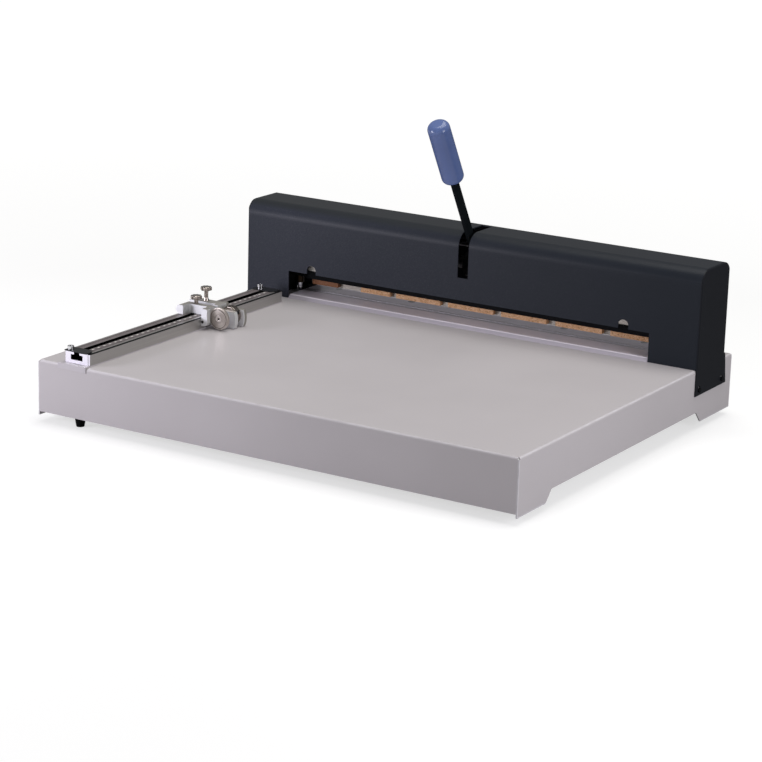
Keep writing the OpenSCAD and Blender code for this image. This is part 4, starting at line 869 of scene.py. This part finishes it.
def quarter_round(radius, along, start, steps):
    """A quarter of a circle that ends a body of the grip's radius; start is its first angle."""
    points = []
    for i in range(steps + 1):
        a = math.radians(start + 90 * i / steps)
        points.append((GRIP_RADIUS - radius + radius * math.cos(a), along + radius * math.sin(a)))
    return points


def grip_outline():
    """The grip's half outline: a round lower end, a straight body and a wide round top edge."""
    low_round, top_round = 0.0065, 0.0075
    return [(0.0, GRIP_LOW), *quarter_round(low_round, GRIP_LOW + low_round, -90, 12),
            *quarter_round(top_round, GRIP_HIGH - top_round, 0, 16), (0.0, GRIP_HIGH)]


pivot = Vector(next(j for j in frame["joints"] if j["name"] == "press_lever")["pos_m"])
grip_mesh = lathe("grip_form", grip_outline(), (0, 0, 0), turns=96)
grip_mesh.transform(Matrix.Translation(pivot)
                    @ Matrix.Rotation(math.radians(LEVER_LEAN), 4, "X"))
add("handle_grip", shaded(grip_mesh, 60), "lever", grip_plastic, slots["lever_grip"], "lever_grip")

# ---- Paper stop ----

softened("front_saddle", saddle_metal, "clamp_saddle", edge=0.0005, steps=3, left_round=0.003)
softened("fork_saddle", fork_metal, "stop_saddle", edge=0.0005, steps=3)

SADDLE_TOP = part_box("clamp_saddle")[1].z


def thumb(name, cad, collar=0.0):
    """A thumb screw: a plain shank and a fluted head with chamfered edges.

    Where collar is given, a cone of that height stands round the shank's foot.
    """
    low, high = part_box(cad)
    tip, shank, cone, head = 0.002, 0.0024, 0.0035, 0.00675    # radii
    head_low = high.z - 0.0046
    foot = SADDLE_TOP + 0.0001
    outline = [(0.0, low.z), (tip, low.z), (tip, foot)]
    outline += [(cone, foot), (shank, foot + collar)] if collar else [(shank, foot)]
    outline += [(shank, head_low), (head - 0.0010, head_low), (head, head_low + 0.0007),
                (head, high.z - 0.0009), (head - 0.0009, high.z), (0.0, high.z)]
    body = lathe(name, rounded_section(outline, 0.00035, 2),
                 ((low.x + high.x) / 2, (low.y + high.y) / 2, 0), turns=96,
                 flutes=8, depth=0.0010, fluted_from=head - 0.0014)
    add(name, shaded(body, 40), nodes[cad]["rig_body"], nickel, slots[cad], cad)


thumb("front_thumb_screw", "clamp_thumb_screw")
thumb("rear_thumb_screw", "stop_thumb_screw", collar=0.004)

drum_mid, drum_half = box_of("knurled_drum")
drum_r, h = drum_half.x, drum_half.y
bore, body, end, chamfer = 0.0031, drum_r - 0.0004, drum_r - 0.0012, 0.0008
outline = rounded_section([
    (bore, -h), (end, -h), (body, -h + chamfer),
    (body, h - chamfer), (end, h), (bore, h), (bore, -h)], 0.0003)
drum_body = lathe("drum_form", outline, drum_mid, axis="Y")
drum_ridges = grown(RIDGES, Count=60, Radius=drum_r - 0.0005, Length=h * 2 - 0.0018, Width=0.00055,
                    Height=0.001, Place=tuple(drum_mid), Turn=(math.radians(90), 0, 0),
                    Material=nickel)
add("adjusting_drum", joined("adjusting_drum", [shaded(drum_body, 40), drum_ridges]),
    "fine_knob", nickel, slots["knurled_drum"], "knurled_drum")

dial_mid, dial_half = box_of("dial")
h, rim_end, face = dial_half.y, dial_half.y - DIAL_STEP, DIAL_RADIUS - DIAL_STEP
bore, small, bevel, recess_low = 0.0021, 0.0003, 0.0004, dial_half.y - 0.0016
outline = rounded_section([
    (bore, -h), (DIAL_RADIUS - bevel, -h), (DIAL_RADIUS, -h + bevel),
    (DIAL_RADIUS, rim_end - small), (DIAL_RADIUS - small, rim_end),
    (face, rim_end), (face, h - small), (face - small, h),
    (DIAL_GROOVE + 0.0004, h), (DIAL_GROOVE, h - 0.0005), (DIAL_GROOVE - 0.0004, h),
    (DIAL_RECESS + 0.0002, h), (0.00435, recess_low), (bore, recess_low), (bore, -h)], 0.0001, 2)
add("dial_plate", shaded(lathe("dial_form", outline, dial_mid, axis="Y", turns=96), 40),
    "fine_knob", turned_nickel, slots["dial"], "dial")
softened("dial_key_screw", key_metal, "dial_screw", edge=0.0002)
softened("spindle_rod", chrome, "fine_spindle", edge=0.0002)

# ---- Pieces that stay as the CAD made them ----

KEPT = {
    "corner_plates": zinc, "cross_braces": zinc, "foot_studs": zinc, "bed_screws": zinc,
    "frame_screws": zinc, "post_nuts": zinc, "blade_screws": zinc, "return_springs": spring_metal,
    "hub_screws": black_coat, "clamp_t_nut": bright_metal, "stop_t_nut": bright_metal,
}
for name, material in KEPT.items():
    nodes[name].data.materials.clear()
    nodes[name].data.materials.append(material)

# ---- Floor, light and camera ----

floor_mesh = bpy.data.meshes.new("floor")
floor_mesh.from_pydata([(-30, -30, 0), (30, -30, 0), (30, 30, 0), (-30, 30, 0)], [], [(0, 1, 2, 3)])
floor = in_scene("floor", floor_mesh)
white_floor, tree, shader = finish_named(
    "white_floor", Roughness=0.9, Specular_IOR_Level=0.1, Emission_Color=WHITE)
ray = tree.nodes.new("ShaderNodeLightPath").outputs
floor_tone = blend_colour(tree, ray["Is Glossy Ray"], rgb("B0B0B0"), rgb("6E6E6E"))
place = object_place(tree)
# The floor glows for the camera, more so farther out, and in reflections glows in front only
away = vector_node(tree, "LENGTH", place)
direct = math_node(tree, "MULTIPLY", ray["Is Camera Ray"], spread(tree, away, 0.8, 2.5, 0.62, 0.9))
forward = vector_node(tree, "DOT_PRODUCT", place, (-0.52, -0.853, 0))
mirrored = math_node(tree, "MULTIPLY", ray["Is Glossy Ray"],
                     spread(tree, forward, 0.05, 0.6, to_high=0.8))
give(tree, shader, Base_Color=floor_tone,
     Emission_Strength=math_node(tree, "ADD", direct, mirrored))
floor.data.materials.append(white_floor)

# The sky is white to the camera, dim in mirrors, and a soft fill light
MIRRORED_SKY, FILL = 0.16, 0.25
world = bpy.data.worlds.new("studio")
scene.world = world
world.use_nodes = True
tree = world.node_tree
sky = tree.nodes["Background"]
sky.inputs["Color"].default_value = WHITE
ray = tree.nodes.new("ShaderNodeLightPath").outputs
seen = math_node(tree, "MAXIMUM", ray["Is Camera Ray"], ray["Is Transmission Ray"])
glossy = math_node(tree, "MULTIPLY", ray["Is Glossy Ray"], MIRRORED_SKY)
seen = math_node(tree, "MAXIMUM", seen, glossy)
give(tree, sky, Strength=math_node(tree, "MAXIMUM", seen, FILL))


def lamp(name, place, target, size, power, colour):
    """A rectangular lamp that points at a target; size in metres, power in watts."""
    data = bpy.data.lights.new(name, "AREA")
    data.shape, data.size, data.size_y = "RECTANGLE", size[0], size[1]
    data.energy, data.color = power, colour
    made = in_scene(name, data)
    made.location = place
    made.visible_camera = False
    made.rotation_euler = (Vector(target) - Vector(place)).to_track_quat("-Z", "Y").to_euler()


lamp("top_softbox", (0.1, 0.3, 2.2), (0, 0, 0), (1.8, 1.6), 32, (1, 0.993, 0.96))
lamp("left_softbox", (-0.9, -1.0, 0.34), (-0.3, -0.1, 0.1), (0.5, 0.45), 8.6, (0.955, 0.93, 1.03))
lamp("right_softbox", (1.05, -0.2, 0.36), (0.3, -0.15, 0.04), (0.4, 0.45), 3.75, (1, 0.99, 1.05))

# The camera's place, directions and lens come from the fit to the photograph
azimuth, elevation, roll = (math.radians(a) for a in (31.403, 15.618, 1.671))
back = Vector((math.sin(azimuth) * math.cos(elevation), -math.cos(azimuth) * math.cos(elevation),
               math.sin(elevation)))
right = Vector((math.cos(azimuth), math.sin(azimuth), 0))
up = back.cross(right)
across = math.cos(roll) * right + math.sin(roll) * up
upward = -math.sin(roll) * right + math.cos(roll) * up
camera_data = bpy.data.cameras.new("camera")
camera_data.lens, camera_data.sensor_width = 122.39, 36.0
camera_data.clip_start, camera_data.clip_end = 0.1, 100
camera = in_scene("camera", camera_data)
turn = Matrix((across, upward, back)).transposed().to_4x4()
camera.matrix_world = Matrix.Translation((1.44150, -2.38184, 0.82001)) @ turn
scene.camera = camera
